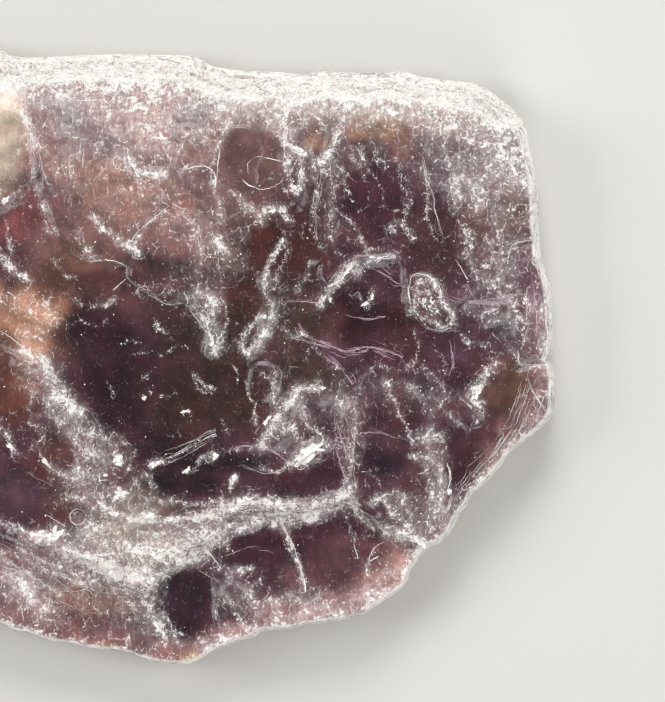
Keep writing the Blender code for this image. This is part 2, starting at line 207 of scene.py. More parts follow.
# What wanders over the slab, as a reach, a wavelength and a seed, or as the last two alone
BROAD_SWELL = (0.22 * MM, 30 * MM, 4)
SHORT_SWELL = (0.07 * MM, 8 * MM, 5)
TORN_EDGE = (0.35 * MM, 3.2 * MM, 6)
CRUST_LUMPS = (2.6 * MM, 8)
FROST_TEARS = [(0.20 * MM, 1.9 * MM, 31), (0.11 * MM, 0.8 * MM, 33)]
FROST_GAPS = (1.6 * MM, 35)
TINT_EDGES = [(0.5 * MM, 4 * MM, 41), (0.25 * MM, 1.5 * MM, 43)]
RIM_SHEET_DEPTHS = [(0.10 * MM, 6 * MM, 50), (0.05 * MM, 1.3 * MM, 70)]
CRUMPLES = [(1.0, 0.95 * MM, 61), (0.7, 0.62 * MM, 62)]
CRUMPLE_HEIGHT = 0.05 * MM

# How long strands sway and crinkle, with the number of different ways at the end
STRAND_SWAY = (2.6 * MM, 90, 7)
STRAND_CRINKLE = (0.05 * MM, 0.5 * MM, 80, 5)

# Recesses on the underside, as in the solid: a rise in mm and a closed line
UNDERSIDE_RECESSES = [
    (0.50, [(300, 20), (420, 96), (476, 150), (520, 168), (600, 120), (560, 20)]),
    (0.35, [
        (-240, 300), (-150, 330), (-96, 392), (-110, 470), (-60, 540), (-140, 620), (-260, 560),
    ]),
    (0.45, [(330, 700), (352, 600), (404, 552), (470, 540), (560, 600), (470, 700)]),
]

# Frost: where torn sheets scatter the light, as a density, a half width in mm and a line
FROST = [
    (1.0, 1.0, [
        (-128, 112), (-110, 92), (-84, 76), (-60, 66), (-20, 60), (30, 66), (90, 64), (150, 64),
        (190, 68), (215, 80), (245, 86), (275, 84), (330, 80), (400, 82), (450, 90), (485, 100),
        (506, 114),
    ]),
    (0.5, 1.1, [(-60, 92), (0, 84), (30, 88), (90, 86), (150, 86), (190, 90)]),
    (0.9, 0.9, [(225, 92), (260, 95), (290, 94)]),
    (0.7, 0.35, [(112, 104), (128, 112), (140, 110)]),
    (0.6, 0.3, [(170, 120), (180, 132), (196, 136)]),
    (0.6, 0.25, [(206, 122), (216, 134), (232, 126)]),
    (0.6, 1.3, [(290, 98), (350, 98), (400, 103), (450, 111), (490, 126), (512, 146)]),
    (0.5, 0.8, [(430, 128), (456, 124), (482, 138)]),
    (1.0, 0.32, [(5, 75), (18, 90), (27, 110), (33, 130), (36, 146)]),
    (0.6, 0.16, [(36, 146), (36, 170), (39, 186), (48, 205), (55, 220), (60, 236)]),
    (0.85, 0.3, [(0, 192), (8, 206), (18, 199)]),
    (0.5, 0.15, [(12, 204), (8, 218), (12, 240), (16, 254)]),
    (0.9, 0.3, [(-52, 226), (-24, 242), (0, 255), (16, 270), (30, 280)]),
    (0.6, 0.2, [(44, 205), (52, 236)]),
    (1.0, 0.42, [(150, 128), (160, 138), (166, 144)]),
    (0.6, 0.22, [(150, 120), (146, 108), (156, 102), (165, 110), (162, 122)]),
    (0.6, 0.28, [(104, 108), (112, 118)]),
    (0.5, 0.28, [(136, 98), (142, 112)]),
    (0.6, 0.24, [(108, 122), (116, 132), (124, 138)]),
    (1.0, 0.36, [(126, 158), (134, 168), (144, 174), (156, 178), (168, 174)]),
    (0.5, 0.2, [(140, 178), (144, 194)]),
    (0.5, 0.2, [(158, 182), (164, 200)]),
    (0.5, 0.25, [(184, 172), (200, 168)]),
    (0.5, 0.2, [(72, 158), (74, 180)]),
    (0.55, 0.13, [(228, 130), (218, 150), (213, 175), (217, 196)]),
    (0.5, 0.15, [(200, 133), (214, 134), (230, 130)]),
    (0.55, 0.2, [(216, 196), (223, 214), (217, 234), (224, 252)]),
    (0.9, 0.34, [(221, 244), (226, 256)]),
    (0.55, 0.15, [(232, 192), (246, 204), (262, 212)]),
    (0.95, 0.36, [(262, 218), (270, 210), (282, 212), (290, 222)]),
    (0.6, 0.25, [(240, 204), (254, 214), (264, 222)]),
    (0.8, 0.24, [(94, 218), (106, 230), (118, 238), (130, 248)]),
    (1.0, 0.34, [(130, 246), (136, 254)]),
    (0.5, 0.13, [(134, 244), (150, 226), (165, 213), (176, 218)]),
    (0.4, 0.18, [(186, 218), (200, 230), (204, 250), (203, 268)]),
    (0.5, 0.2, [(80, 234), (86, 248), (92, 258)]),
    (0.7, 0.25, [(90, 252), (95, 260)]),
    (0.35, 0.5, [(140, 290), (165, 290), (190, 298)]),
    (0.8, 0.2, [(106, 306), (118, 300)]),
    (0.8, 0.28, [(158, 324), (166, 332)]),
    (0.9, 0.55, [(202, 292), (212, 302), (209, 318), (214, 334), (218, 350)]),
    (0.7, 0.3, [(196, 306), (206, 322), (208, 344), (216, 354)]),
    (0.8, 0.3, [(264, 318), (250, 328), (242, 342), (248, 353), (260, 346), (266, 330)]),
    (0.45, 1.0, [(16, 302), (40, 306), (52, 320), (30, 332)]),
    (0.6, 0.22, [(274, 370), (276, 384), (272, 398)]),
    (0.85, 0.22, [
        (286, 240), (274, 256), (266, 280), (268, 296), (273, 310), (268, 330), (258, 344),
        (248, 352),
    ]),
    (0.5, 0.3, [(262, 336), (276, 318), (278, 300)]),
    (1.0, 0.36, [(292, 84), (286, 112), (284, 130), (290, 150), (306, 158)]),
    (0.85, 0.32, [(288, 162), (289, 180), (296, 195), (303, 184), (300, 166)]),
    (0.6, 0.3, [(262, 108), (272, 126), (282, 136)]),
    (0.95, 0.28, [(350, 104), (343, 122), (336, 138), (330, 155), (322, 166)]),
    (0.7, 0.16, [(322, 158), (328, 166), (322, 173), (316, 166), (322, 158)]),
    (0.4, 0.25, [(331, 172), (334, 195), (330, 225), (336, 256)]),
    (0.35, 0.2, [(352, 160), (362, 176), (368, 196), (360, 214)]),
    (0.35, 0.2, [(372, 150), (386, 172), (392, 190)]),
    (0.35, 0.2, [(398, 180), (406, 200), (404, 216)]),
    (0.75, 0.3, [(390, 232), (394, 224), (404, 228), (412, 240)]),
    (0.45, 0.22, [(358, 236), (368, 250), (382, 248)]),
    (1.0, 0.34, [(321, 306), (326, 294), (338, 282), (346, 270), (356, 260)]),
    (0.95, 0.3, [(352, 276), (364, 266), (376, 261), (394, 257)]),
    (0.8, 0.15, [(312, 262), (305, 278), (295, 293)]),
    (0.6, 0.16, [(288, 250), (282, 268), (274, 288)]),
    (0.65, 0.2, [(372, 290), (370, 304), (362, 306), (358, 298)]),
    (0.85, 0.28, [(410, 312), (416, 292), (424, 279), (433, 282)]),
    (0.8, 0.2, [
        (433, 282), (440, 298), (450, 314), (450, 326), (436, 325), (420, 316), (410, 312),
    ]),
    (0.5, 0.7, [(422, 292), (432, 310)]),
    (0.75, 0.28, [(500, 296), (510, 304), (516, 320)]),
    (0.6, 0.3, [(478, 318), (490, 310), (504, 302)]),
    (0.5, 0.2, [(484, 326), (500, 318), (514, 324), (522, 338)]),
    (0.55, 0.2, [(463, 230), (465, 250), (474, 274), (490, 285), (501, 274)]),
    (0.5, 0.2, [(484, 238), (492, 254), (502, 248), (498, 232), (490, 216)]),
    (0.6, 0.28, [(454, 196), (462, 201)]),
    (0.5, 0.25, [(470, 188), (486, 194), (500, 192)]),
    (0.7, 0.2, [(502, 152), (492, 164), (478, 180)]),
    (0.8, 0.28, [(508, 162), (513, 174), (518, 186)]),
    (0.5, 0.3, [(470, 140), (486, 150), (500, 146)]),
    (0.45, 0.3, [(520, 180), (530, 196), (532, 220)]),
    (0.45, 0.2, [(430, 345), (440, 356), (446, 372)]),
    (0.55, 0.2, [(412, 330), (418, 344), (414, 360), (404, 368)]),
    (0.45, 0.25, [(424, 366), (436, 380), (444, 396)]),
    (1.0, 0.36, [(494, 364), (484, 378), (472, 392), (470, 398)]),
    (1.0, 0.32, [(470, 398), (478, 406), (477, 418)]),
    (0.5, 0.2, [(448, 414), (458, 422), (466, 432)]),
    (0.5, 0.2, [(432, 396), (440, 404)]),
    (0.75, 0.5, [(24, 352), (42, 358), (52, 372), (62, 392), (74, 408)]),
    (0.8, 0.5, [(48, 362), (56, 384), (66, 400), (82, 414)]),
    (0.55, 0.5, [(84, 430), (98, 434), (114, 438)]),
    (0.6, 0.4, [(88, 444), (94, 462), (84, 476)]),
    (1.0, 0.3, [(117, 456), (123, 460)]),
    (0.6, 0.2, [(112, 440), (118, 452)]),
    (1.0, 0.32, [(118, 490), (125, 494)]),
    (0.5, 0.5, [(92, 484), (102, 494)]),
    (0.7, 0.18, [(78, 452), (81, 476)]),
    (0.7, 0.22, [(45, 456), (54, 466)]),
    (0.75, 0.26, [(10, 430), (16, 446), (20, 452)]),
    (0.5, 0.2, [(30, 408), (36, 398), (34, 386)]),
    (1.0, 0.24, [(152, 465), (160, 461)]),
    (0.45, 0.12, [(160, 462), (182, 452), (204, 438)]),
    (0.8, 0.18, [(188, 471), (198, 464), (208, 456)]),
    (0.8, 0.2, [(210, 460), (216, 452)]),
    (0.9, 0.16, [(232, 486), (237, 474)]),
    (0.8, 0.15, [(262, 466), (276, 470), (284, 468), (290, 460)]),
    (0.45, 0.15, [(224, 451), (244, 448), (264, 448)]),
    (0.75, 0.13, [(249, 384), (253, 404), (258, 426)]),
    (0.6, 0.2, [(262, 374), (272, 380), (276, 396), (268, 402)]),
    (0.9, 0.4, [(292, 400), (282, 412), (272, 426), (262, 446)]),
    (1.0, 0.28, [(290, 402), (296, 391), (306, 387), (317, 388)]),
    (0.5, 0.5, [(286, 420), (294, 434), (304, 444)]),
    (0.6, 0.22, [(300, 404), (306, 420), (316, 430)]),
    (1.0, 0.45, [(296, 459), (308, 451), (324, 441)]),
    (0.7, 0.15, [(292, 462), (298, 468), (308, 464)]),
    (0.5, 0.2, [(184, 412), (192, 412)]),
    (0.6, 0.2, [(144, 396), (148, 399)]),
    (0.5, 0.2, [(146, 378), (154, 373)]),
    (0.6, 0.18, [(198, 378), (206, 386), (216, 388)]),
    (0.4, 0.2, [(222, 420), (230, 430)]),
    (0.5, 0.35, [(340, 406), (352, 402), (355, 420), (351, 448), (348, 480)]),
    (0.65, 0.14, [(384, 378), (392, 400), (402, 420), (412, 442)]),
    (0.45, 0.2, [(366, 374), (376, 366), (388, 370)]),
    (0.4, 0.3, [(408, 386), (420, 398), (430, 414)]),
    (0.55, 0.25, [(420, 440), (432, 432), (444, 444)]),
    (0.7, 0.22, [(408, 456), (424, 456), (438, 464), (441, 486), (440, 508)]),
    (0.5, 0.35, [(424, 470), (430, 490), (434, 512)]),
    (0.4, 0.18, [(362, 464), (376, 480)]),
    (0.45, 0.2, [(396, 488), (404, 504), (412, 520)]),
    (0.9, 0.3, [(104, 506), (116, 512), (134, 517), (152, 513)]),
    (1.0, 0.3, [(134, 517), (164, 518), (200, 516), (226, 506)]),
    (1.0, 0.5, [(204, 517), (230, 507), (252, 500), (286, 503), (322, 506)]),
    (0.7, 0.22, [(150, 536), (180, 531), (202, 528), (222, 518)]),
    (0.6, 0.2, [(150, 498), (186, 502), (222, 500), (246, 497)]),
    (0.95, 0.42, [(320, 507), (334, 499), (345, 491), (350, 488)]),
    (0.95, 0.34, [(346, 492), (354, 508), (368, 521), (386, 530), (404, 536)]),
    (1.0, 0.45, [(396, 534), (414, 537), (428, 546)]),
    (0.75, 0.24, [(368, 502), (380, 498), (394, 512), (410, 528)]),
    (0.8, 0.3, [(-110, 496), (-60, 508), (-20, 514), (0, 520), (28, 530), (44, 534)]),
    (1.0, 0.5, [(38, 540), (50, 536), (60, 531)]),
    (0.7, 0.3, [(60, 548), (84, 554), (110, 560)]),
    (0.6, 1.0, [(96, 532), (140, 546), (186, 544)]),
    (0.95, 0.75, [(92, 562), (118, 567), (146, 566)]),
    (0.8, 0.5, [(146, 562), (172, 552), (196, 540), (208, 530)]),
    (0.9, 0.7, [(112, 572), (132, 580), (148, 592)]),
    (0.85, 0.38, [(146, 602), (156, 619), (167, 637)]),
    (0.6, 0.2, [(160, 610), (172, 624), (182, 642)]),
    (0.75, 0.8, [(26, 584), (34, 600), (48, 610)]),
    (0.4, 0.15, [(-40, 540), (0, 556), (30, 572), (64, 592)]),
    (0.4, 0.15, [(-30, 560), (10, 580), (30, 596)]),
    (0.7, 0.4, [(230, 572), (242, 568), (252, 566)]),
    (0.6, 0.24, [(204, 543), (214, 556), (222, 568)]),
    (0.55, 0.22, [(224, 592), (234, 608), (244, 622), (256, 626)]),
    (0.75, 0.3, [(250, 590), (256, 604)]),
    (0.6, 0.3, [(268, 596), (280, 604), (276, 618)]),
    (0.55, 0.3, [(288, 592), (302, 600), (318, 596)]),
    (0.6, 0.35, [(204, 640), (220, 638), (236, 634)]),
    (0.9, 0.22, [(281, 516), (288, 538), (298, 560), (304, 584)]),
    (0.4, 0.12, [(346, 512), (352, 536), (358, 557)]),
    (0.65, 0.18, [(376, 548), (368, 558), (366, 574)]),
    (0.5, 0.3, [(376, 580), (388, 572), (400, 566)]),
    (0.45, 0.4, [(350, 598), (366, 592), (380, 590)]),
    (0.5, 0.15, [(516, 352), (517, 363), (530, 365), (551, 361)]),
    (0.45, 0.15, [(508, 256), (514, 244), (526, 240), (541, 239)]),
    (0.9, 0.4, [
        (318, 516), (290, 520), (262, 521), (240, 528), (222, 538), (206, 550), (190, 562),
    ]),
    (1.0, 0.8, [(66, 550), (96, 561), (124, 570), (148, 580)]),
    (0.95, 0.34, [
        (345, 503), (318, 510), (290, 513), (262, 513), (240, 520), (222, 528), (204, 544),
        (186, 558), (166, 572), (152, 584),
    ]),
    (0.5, 0.15, [(144, 380), (150, 374), (158, 368)]),
    (0.5, 0.12, [(136, 356), (150, 352), (164, 354)]),
    (0.45, 0.12, [(120, 346), (134, 340), (146, 344)]),
    (0.45, 0.12, [(108, 380), (116, 392), (112, 402)]),
    (0.5, 0.14, [(168, 352), (180, 346), (190, 350)]),
    (0.45, 0.12, [(150, 390), (166, 396), (182, 392)]),
    (0.5, 0.12, [(226, 300), (228, 322), (222, 340)]),
    (0.5, 0.12, [(230, 362), (240, 372), (236, 384)]),
    (0.5, 0.15, [(196, 372), (200, 388), (212, 394)]),
    (0.45, 0.12, [(76, 300), (90, 306), (104, 304)]),
    (0.45, 0.12, [(84, 320), (96, 326), (110, 322)]),
    (0.5, 0.14, [(56, 262), (66, 274), (80, 280)]),
    (0.45, 0.12, [(300, 330), (312, 342), (306, 360)]),
    (0.45, 0.12, [(318, 350), (330, 362), (344, 372)]),
    (0.5, 0.15, [(282, 330), (292, 338), (304, 334)]),
    (0.6, 0.5, [(436, 112), (446, 128), (440, 142)]),
    (0.55, 0.4, [(456, 160), (462, 176), (452, 190)]),
    (0.7, 0.35, [(486, 170), (500, 176), (514, 190)]),
    (0.6, 0.4, [(470, 196), (480, 204), (474, 216)]),
    (0.6, 0.3, [(524, 150), (528, 170), (536, 190)]),
    (0.7, 0.18, [(512, 150), (520, 176), (532, 204)]),
    (0.5, 0.3, [(460, 226), (470, 240), (466, 256)]),
    (0.55, 0.35, [(488, 262), (500, 270), (496, 282)]),
    (0.5, 0.25, [(508, 286), (520, 296), (530, 310)]),
    (0.5, 0.25, [(458, 336), (470, 344), (486, 346)]),
    (0.5, 0.12, [(312, 170), (318, 196), (312, 226), (322, 250)]),
    (0.5, 0.12, [(340, 168), (346, 190), (358, 206)]),
    (0.5, 0.12, [(360, 150), (366, 172), (380, 186), (384, 206)]),
    (0.5, 0.12, [(392, 160), (404, 178), (410, 200), (404, 222)]),
    (0.5, 0.12, [(336, 212), (350, 222), (362, 240), (372, 262)]),
    (0.5, 0.14, [(420, 160), (428, 190), (426, 216), (434, 240)]),
    (0.45, 0.12, [(380, 206), (392, 212), (412, 212)]),
    (0.5, 0.16, [(440, 150), (450, 170), (456, 196), (452, 216)]),
    (0.6, 0.3, [(50, 400), (58, 414), (66, 426)]),
    (0.6, 0.3, [(34, 420), (44, 432), (40, 446)]),
    (0.6, 0.25, [(72, 430), (80, 444), (90, 452)]),
    (0.55, 0.25, [(60, 470), (76, 478), (92, 474)]),
    (0.6, 0.25, [(96, 452), (108, 462), (100, 476)]),
    (0.5, 0.2, [(126, 440), (136, 452), (130, 470)]),
    (0.6, 0.3, [(136, 482), (146, 474), (156, 486)]),
    (0.5, 0.25, [(60, 500), (76, 496), (90, 500)]),
    (0.85, 0.35, [(56, 546), (84, 560), (112, 570), (140, 578)]),
    (0.65, 0.2, [(0, 548), (30, 560), (60, 574), (90, 584)]),
    (0.65, 0.2, [(20, 546), (50, 562), (90, 576), (130, 590)]),
    (0.5, 0.2, [(0, 566), (26, 584), (40, 604)]),
    (0.5, 0.25, [(236, 580), (250, 584), (262, 578)]),
    (0.5, 0.25, [(212, 606), (220, 620), (232, 626)]),
    (0.5, 0.25, [(296, 612), (312, 608), (330, 604)]),
    (0.8, 0.7, [(-130, 300), (-100, 322), (-94, 352)]),
    (0.7, 0.5, [(-104, 420), (-70, 428), (-40, 418), (0, 424)]),
    (0.7, 0.25, [(-90, 150), (-66, 176), (-40, 184)]),
    (0.6, 0.3, [(-20, 120), (-34, 142), (-30, 168)]),
    (0.7, 0.3, [(-140, 230), (-120, 260), (-90, 270)]),
    (0.6, 0.3, [(-60, 330), (-40, 352), (-10, 362)]),
    (0.7, 0.4, [(-80, 470), (-60, 480), (-44, 470)]),
    (0.7, 0.5, [(-70, 560), (-40, 574), (-20, 590)]),
]

# Haze: broad thin frost, as a density, a half width in mm and a line
HAZE = [
    (0.80, 1.6, [(285, 98), (350, 108), (420, 114), (480, 130), (512, 170)]),
    (0.34, 3.0, [(470, 170), (500, 220), (500, 270)]),
    (0.22, 3.0, [(290, 130), (360, 150), (420, 160), (460, 180)]),
    (0.75, 1.6, [(40, 86), (90, 92), (150, 96), (210, 106), (270, 112)]),
    (0.90, 2.2, [(8, 86), (50, 92), (90, 96)]),
    (0.75, 1.8, [(90, 88), (150, 92), (205, 98)]),
    (0.60, 1.6, [(130, 118), (152, 132), (160, 146)]),
    (0.30, 2.6, [(70, 130), (120, 140), (165, 120), (200, 140)]),
    (0.22, 3.5, [(60, 170), (120, 200), (170, 220), (215, 250)]),
    (0.22, 2.0, [(330, 180), (332, 230)]),
    (0.22, 2.2, [(340, 390), (400, 390), (440, 400)]),
    (0.42, 1.4, [(428, 436), (436, 470), (436, 512), (424, 536)]),
    (0.35, 1.6, [(390, 496), (416, 512)]),
    (0.26, 2.0, [(470, 300), (500, 320), (520, 350)]),
    (0.35, 1.0, [(536, 300), (542, 400), (504, 450), (468, 500), (442, 536)]),
    (0.30, 2.0, [(30, 370), (70, 420), (110, 460)]),
    (0.36, 1.8, [(70, 480), (100, 498), (140, 500)]),
    (0.45, 1.8, [(90, 530), (130, 540), (190, 540)]),
    (0.36, 2.4, [(-20, 560), (30, 590), (100, 596), (150, 624)]),
    (0.30, 2.0, [(222, 590), (260, 602), (320, 600)]),
    (0.42, 1.8, [(370, 596), (390, 570), (408, 560)]),
    (0.34, 1.4, [(200, 648), (300, 620), (380, 598)]),
    (0.26, 1.8, [(280, 440), (296, 410), (344, 410), (350, 450)]),
    (0.16, 6.0, [(60, 150), (200, 180), (240, 330)]),
    (0.25, 3.0, [(-140, 200), (-130, 400), (-80, 560)]),
    (0.20, 3.0, [(-60, 120), (-80, 220), (-60, 300)]),
]

# The sheets' colours, as red, green, blue bytes of what the eye sees, at places with a reach
# in pixels across and down
TINTS = [
    ((86, 58, 66), [(150, 350)], (900, 900)),
    ((137, 105, 102), [
        (60, 130), (120, 210), (160, 120), (210, 150), (170, 210), (90, 250),
    ], (70, 60)),
    ((124, 102, 105), [(80, 128), (96, 148), (192, 124), (200, 186), (60, 104)], (24, 18)),
    ((142, 105, 100), [(160, 112), (140, 214), (186, 204), (64, 168)], (16, 14)),
    ((124, 96, 94), [(245, 150), (235, 190), (262, 170)], (30, 34)),
    ((134, 109, 107), [(300, 110), (380, 110), (450, 120), (230, 110)], (60, 26)),
    ((74, 46, 56), [(340, 195), (375, 195), (415, 210), (400, 180)], (44, 36)),
    ((92, 70, 78), [(480, 180), (515, 170), (500, 150), (440, 170)], (40, 34)),
    ((112, 92, 84), [(512, 214)], (22, 22)),
    ((116, 80, 64), [(472, 226)], (16, 16)),
    ((82, 56, 60), [(440, 230), (450, 260), (430, 330)], (36, 34)),
    ((76, 44, 42), [(262, 240), (256, 290), (244, 320), (300, 250), (240, 262)], (28, 40)),
    ((110, 92, 95), [(74, 122), (200, 112)], (24, 18)),
    ((158, 120, 110), [(110, 186), (98, 178), (126, 204)], (24, 24)),
    ((228, 210, 192), [(4, 106), (6, 146), (-20, 120)], (24, 46)),
    ((134, 84, 86), [(28, 214), (14, 228)], (18, 18)),
    # Painted glow: this peach patch stands in for light shining through thin sheets
    ((206, 160, 138), [(30, 312), (46, 318), (14, 330), (36, 336), (-16, 304)], (26, 24)),
    ((116, 84, 74), [(56, 282), (70, 268), (0, 345), (66, 340)], (22, 22)),
    ((72, 54, 58), [(156, 262), (176, 268)], (24, 14)),
    ((86, 56, 58), [(100, 282), (130, 284)], (24, 14)),
    ((50, 28, 36), [
        (110, 340), (130, 372), (120, 410), (90, 330), (160, 440), (110, 380),
    ], (36, 32)),
    ((64, 44, 42), [(190, 330), (220, 370), (240, 400), (190, 400), (220, 340)], (38, 36)),
    ((78, 58, 54), [(300, 330), (310, 370), (290, 310)], (34, 30)),
    ((54, 28, 34), [(350, 300), (362, 326), (392, 318), (380, 340)], (24, 18)),
    ((80, 52, 60), [(320, 420), (400, 350), (440, 380), (410, 410)], (40, 30)),
    ((86, 60, 72), [(460, 340), (500, 345), (470, 300)], (34, 20)),
    ((62, 48, 58), [(502, 328)], (13, 10)),
    ((112, 80, 90), [(536, 290), (542, 330), (530, 270)], (16, 36)),
    ((110, 82, 72), [(500, 396), (510, 380)], (20, 24)),
    ((136, 104, 104), [(538, 380), (528, 410), (508, 436), (490, 456)], (14, 20)),
    ((92, 60, 60), [(58, 446), (48, 480), (60, 500)], (22, 22)),
    ((116, 74, 66), [(20, 380), (14, 400), (-20, 380)], (26, 24)),
    ((92, 70, 82), [(18, 500), (8, 484), (30, 494)], (26, 18)),
    ((54, 33, 45), [(384, 464), (372, 462)], (22, 15)),
    ((78, 50, 60), [(458, 470), (464, 440), (462, 455)], (16, 26)),
    ((56, 34, 46), [(184, 590), (190, 610), (170, 586)], (34, 28)),
    ((42, 26, 34), [(200, 462), (170, 480), (200, 482), (236, 462)], (26, 14)),
    ((70, 42, 50), [(310, 478), (290, 484), (330, 470)], (28, 14)),
    ((72, 42, 54), [(240, 546), (280, 548), (312, 532), (262, 562)], (34, 24)),
    ((106, 76, 81), [(340, 560), (322, 584), (352, 590), (300, 580)], (28, 22)),
    ((156, 116, 110), [(396, 562), (380, 588), (400, 578)], (24, 20)),
    ((118, 82, 72), [(90, 600), (72, 594), (110, 604)], (26, 14)),
    ((132, 104, 110), [(10, 560), (40, 552), (-20, 580), (10, 596)], (34, 24)),
    ((122, 106, 96), [(120, 532), (140, 510), (150, 545)], (36, 20)),
    ((150, 114, 114), [(60, 632), (20, 612), (110, 640), (180, 655)], (40, 16)),
    ((150, 110, 114), [(300, 612), (360, 600), (240, 632)], (40, 14)),
    ((184, 150, 118), [(194, 657), (108, 646)], (12, 6)),
    ((138, 106, 90), [(318, 142)], (11, 10)),
    ((142, 112, 94), [(366, 130), (386, 134)], (24, 11)),
    ((102, 74, 86), [(342, 360), (330, 350), (462, 298), (450, 354), (376, 434)], (16, 9)),
    ((120, 88, 80), [(402, 150)], (14, 12)),
    ((70, 50, 56), [(-60, 400), (-100, 460), (-80, 520)], (60, 50)),
    ((130, 102, 98), [(-90, 140), (-110, 230), (-60, 180)], (50, 50)),
]
# How much stronger the colours are than the tints say
SATURATION = 1.25

# Lines where a sheet's torn edge stands up, as a width and a rise in mm, and the line
TORN_EDGES = [
    (0.10, 0.10, [(170, 208), (160, 216), (140, 233), (134, 243)]),
    (0.10, 0.12, [
        (88, 263), (108, 261), (128, 266), (129.5, 278), (140, 288), (150, 295), (170, 305),
        (185, 304), (197, 318), (208, 335), (207, 350),
    ]),
    (0.07, 0.06, [(160, 298), (173, 305)]),
    (0.07, 0.06, [(129, 278), (115, 290)]),
    (0.08, 0.08, [(250, 176), (249, 166), (258, 159), (270, 161), (282, 164)]),
    (0.08, 0.08, [(242, 180), (250, 187), (262, 191), (275, 188), (284, 182)]),
    (0.10, 0.10, [(186, 172), (198, 169), (207, 169), (216, 176), (217, 190)]),
    (0.07, 0.06, [(222, 150), (219, 168), (217, 190)]),
    (0.07, 0.06, [(50, 88), (64, 98), (80, 103), (100, 103)]),
    (0.08, 0.08, [(453, 258), (466, 280)]),
    (0.10, 0.10, [(540, 240), (524, 242), (510, 247), (506, 265)]),
    (0.12, 0.12, [(516, 350), (517, 363), (528, 365), (540, 364), (551, 361)]),
    (0.08, 0.08, [(530, 390), (538, 402), (545, 413)]),
    (0.045, 0.04, [(165, 450), (190, 442), (217, 430)]),
    (0.045, 0.04, [(165, 465), (192, 452), (218, 434)]),
    (0.05, 0.05, [(243, 463), (252, 467), (265, 472), (278, 470), (288, 463)]),
    (0.13, 0.14, [(280, 518), (288, 534), (295, 548), (304, 575), (306, 590)]),
    (0.09, 0.09, [(346, 512), (350, 530), (358, 557)]),
    (0.09, 0.09, [(203, 543), (214, 556), (222, 567)]),
    (0.09, 0.09, [(47, 512), (57, 518), (67, 525)]),
    (0.09, 0.09, [(385, 540), (376, 545), (370, 553), (370, 560), (378, 555)]),
    (0.09, 0.08, [(494, 157), (498, 154), (503, 157), (498, 160), (494, 157)]),
    (0.07, 0.06, [(72, 155), (73, 180)]),
    (0.07, 0.06, [(86, 150), (85, 170)]),
    (0.14, 0.16, [(410, 306), (420, 320), (429, 329), (440, 331), (449, 328)]),
    (0.10, 0.12, [(410, 305), (408, 290), (412, 276), (425, 277), (437, 285), (440, 298)]),
    (0.12, 0.12, [(446, 462), (449, 478), (446, 490)]),
    (0.06, 0.05, [(528, 385), (515, 420), (495, 450), (470, 475)]),
    (0.06, 0.05, [(536, 388), (522, 424), (502, 454), (478, 482)]),
    (0.06, 0.05, [(542, 396), (528, 430), (508, 458), (486, 484)]),
    (0.04, 0.04, [(520, 382), (508, 416), (488, 446), (466, 466)]),
    (0.04, 0.04, [(532, 384), (519, 421), (499, 451), (474, 478)]),
    (0.04, 0.04, [(540, 390), (526, 427), (505, 456), (482, 483)]),
    (0.04, 0.04, [(524, 366), (530, 390), (540, 408)]),
    (0.04, 0.04, [(522, 374), (534, 396), (544, 410)]),
    (0.04, 0.04, [(510, 400), (524, 392), (538, 376)]),
    (0.04, 0.04, [(0, 552), (30, 572), (60, 592)]),
    (0.04, 0.04, [(40, 546), (76, 568), (110, 588)]),
    (0.04, 0.04, [(70, 556), (100, 574), (136, 592)]),
    (0.04, 0.04, [(-10, 534), (24, 548), (50, 562)]),
    (0.07, 0.06, [(30, 632), (24, 605), (23, 575)]),
    (0.05, 0.05, [(0, 540), (26, 556), (52, 574), (74, 590)]),
    (0.05, 0.05, [(-20, 545), (10, 560), (38, 580)]),
    (0.05, 0.05, [(20, 542), (50, 562), (80, 582)]),
    (0.09, 0.09, [(0, 330), (14, 338), (30, 352)]),
]
# A line no wider than this is faint
FAINT_WIDTH = 0.055
# Edges that run round in a ring, as the middle in pixels and a radius in mm
RINGED_EDGES = [((80, 515), 0.8), ((140, 503), 1.0), ((301, 464), 0.45)]

# Bundles of fine parallel edges, as a half width in mm and the line that they follow
BUNDLES = [
    (0.5, [(112, 512), (140, 516), (170, 518), (204, 514), (232, 505), (300, 504), (340, 500)]),
    (0.5, [(150, 537), (180, 532), (204, 526), (228, 514), (256, 508), (300, 511), (345, 500)]),
    (0.6, [(60, 548), (90, 558), (120, 566), (150, 572), (176, 560), (200, 542), (214, 530)]),
    (0.6, [(0, 545), (30, 556), (60, 570), (90, 584), (130, 596)]),
    (0.5, [(-20, 552), (10, 566), (40, 584)]),
    (0.5, [(40, 592), (70, 604), (100, 618)]),
    (0.35, [(346, 494), (368, 520), (400, 534), (428, 546)]),
    (0.35, [(524, 384), (512, 418), (492, 448), (470, 474)]),
    (0.25, [(4, 76), (20, 92), (30, 120), (38, 150), (50, 178)]),
    (0.4, [(40, 84), (66, 98), (96, 100), (126, 94)]),
    (0.4, [(196, 92), (222, 104), (262, 106)]),
    (0.3, [(530, 296), (525, 326), (520, 350)]),
    (0.3, [(346, 408), (352, 440), (350, 484)]),
    (0.3, [(168, 206), (196, 222), (204, 250)]),
    (0.3, [(420, 160), (430, 196), (440, 236)]),
    (0.3, [(318, 170), (314, 200), (318, 240)]),
    (0.4, [(160, 462), (190, 448), (216, 432)]),
    (0.3, [(470, 470), (452, 494), (440, 520)]),
]

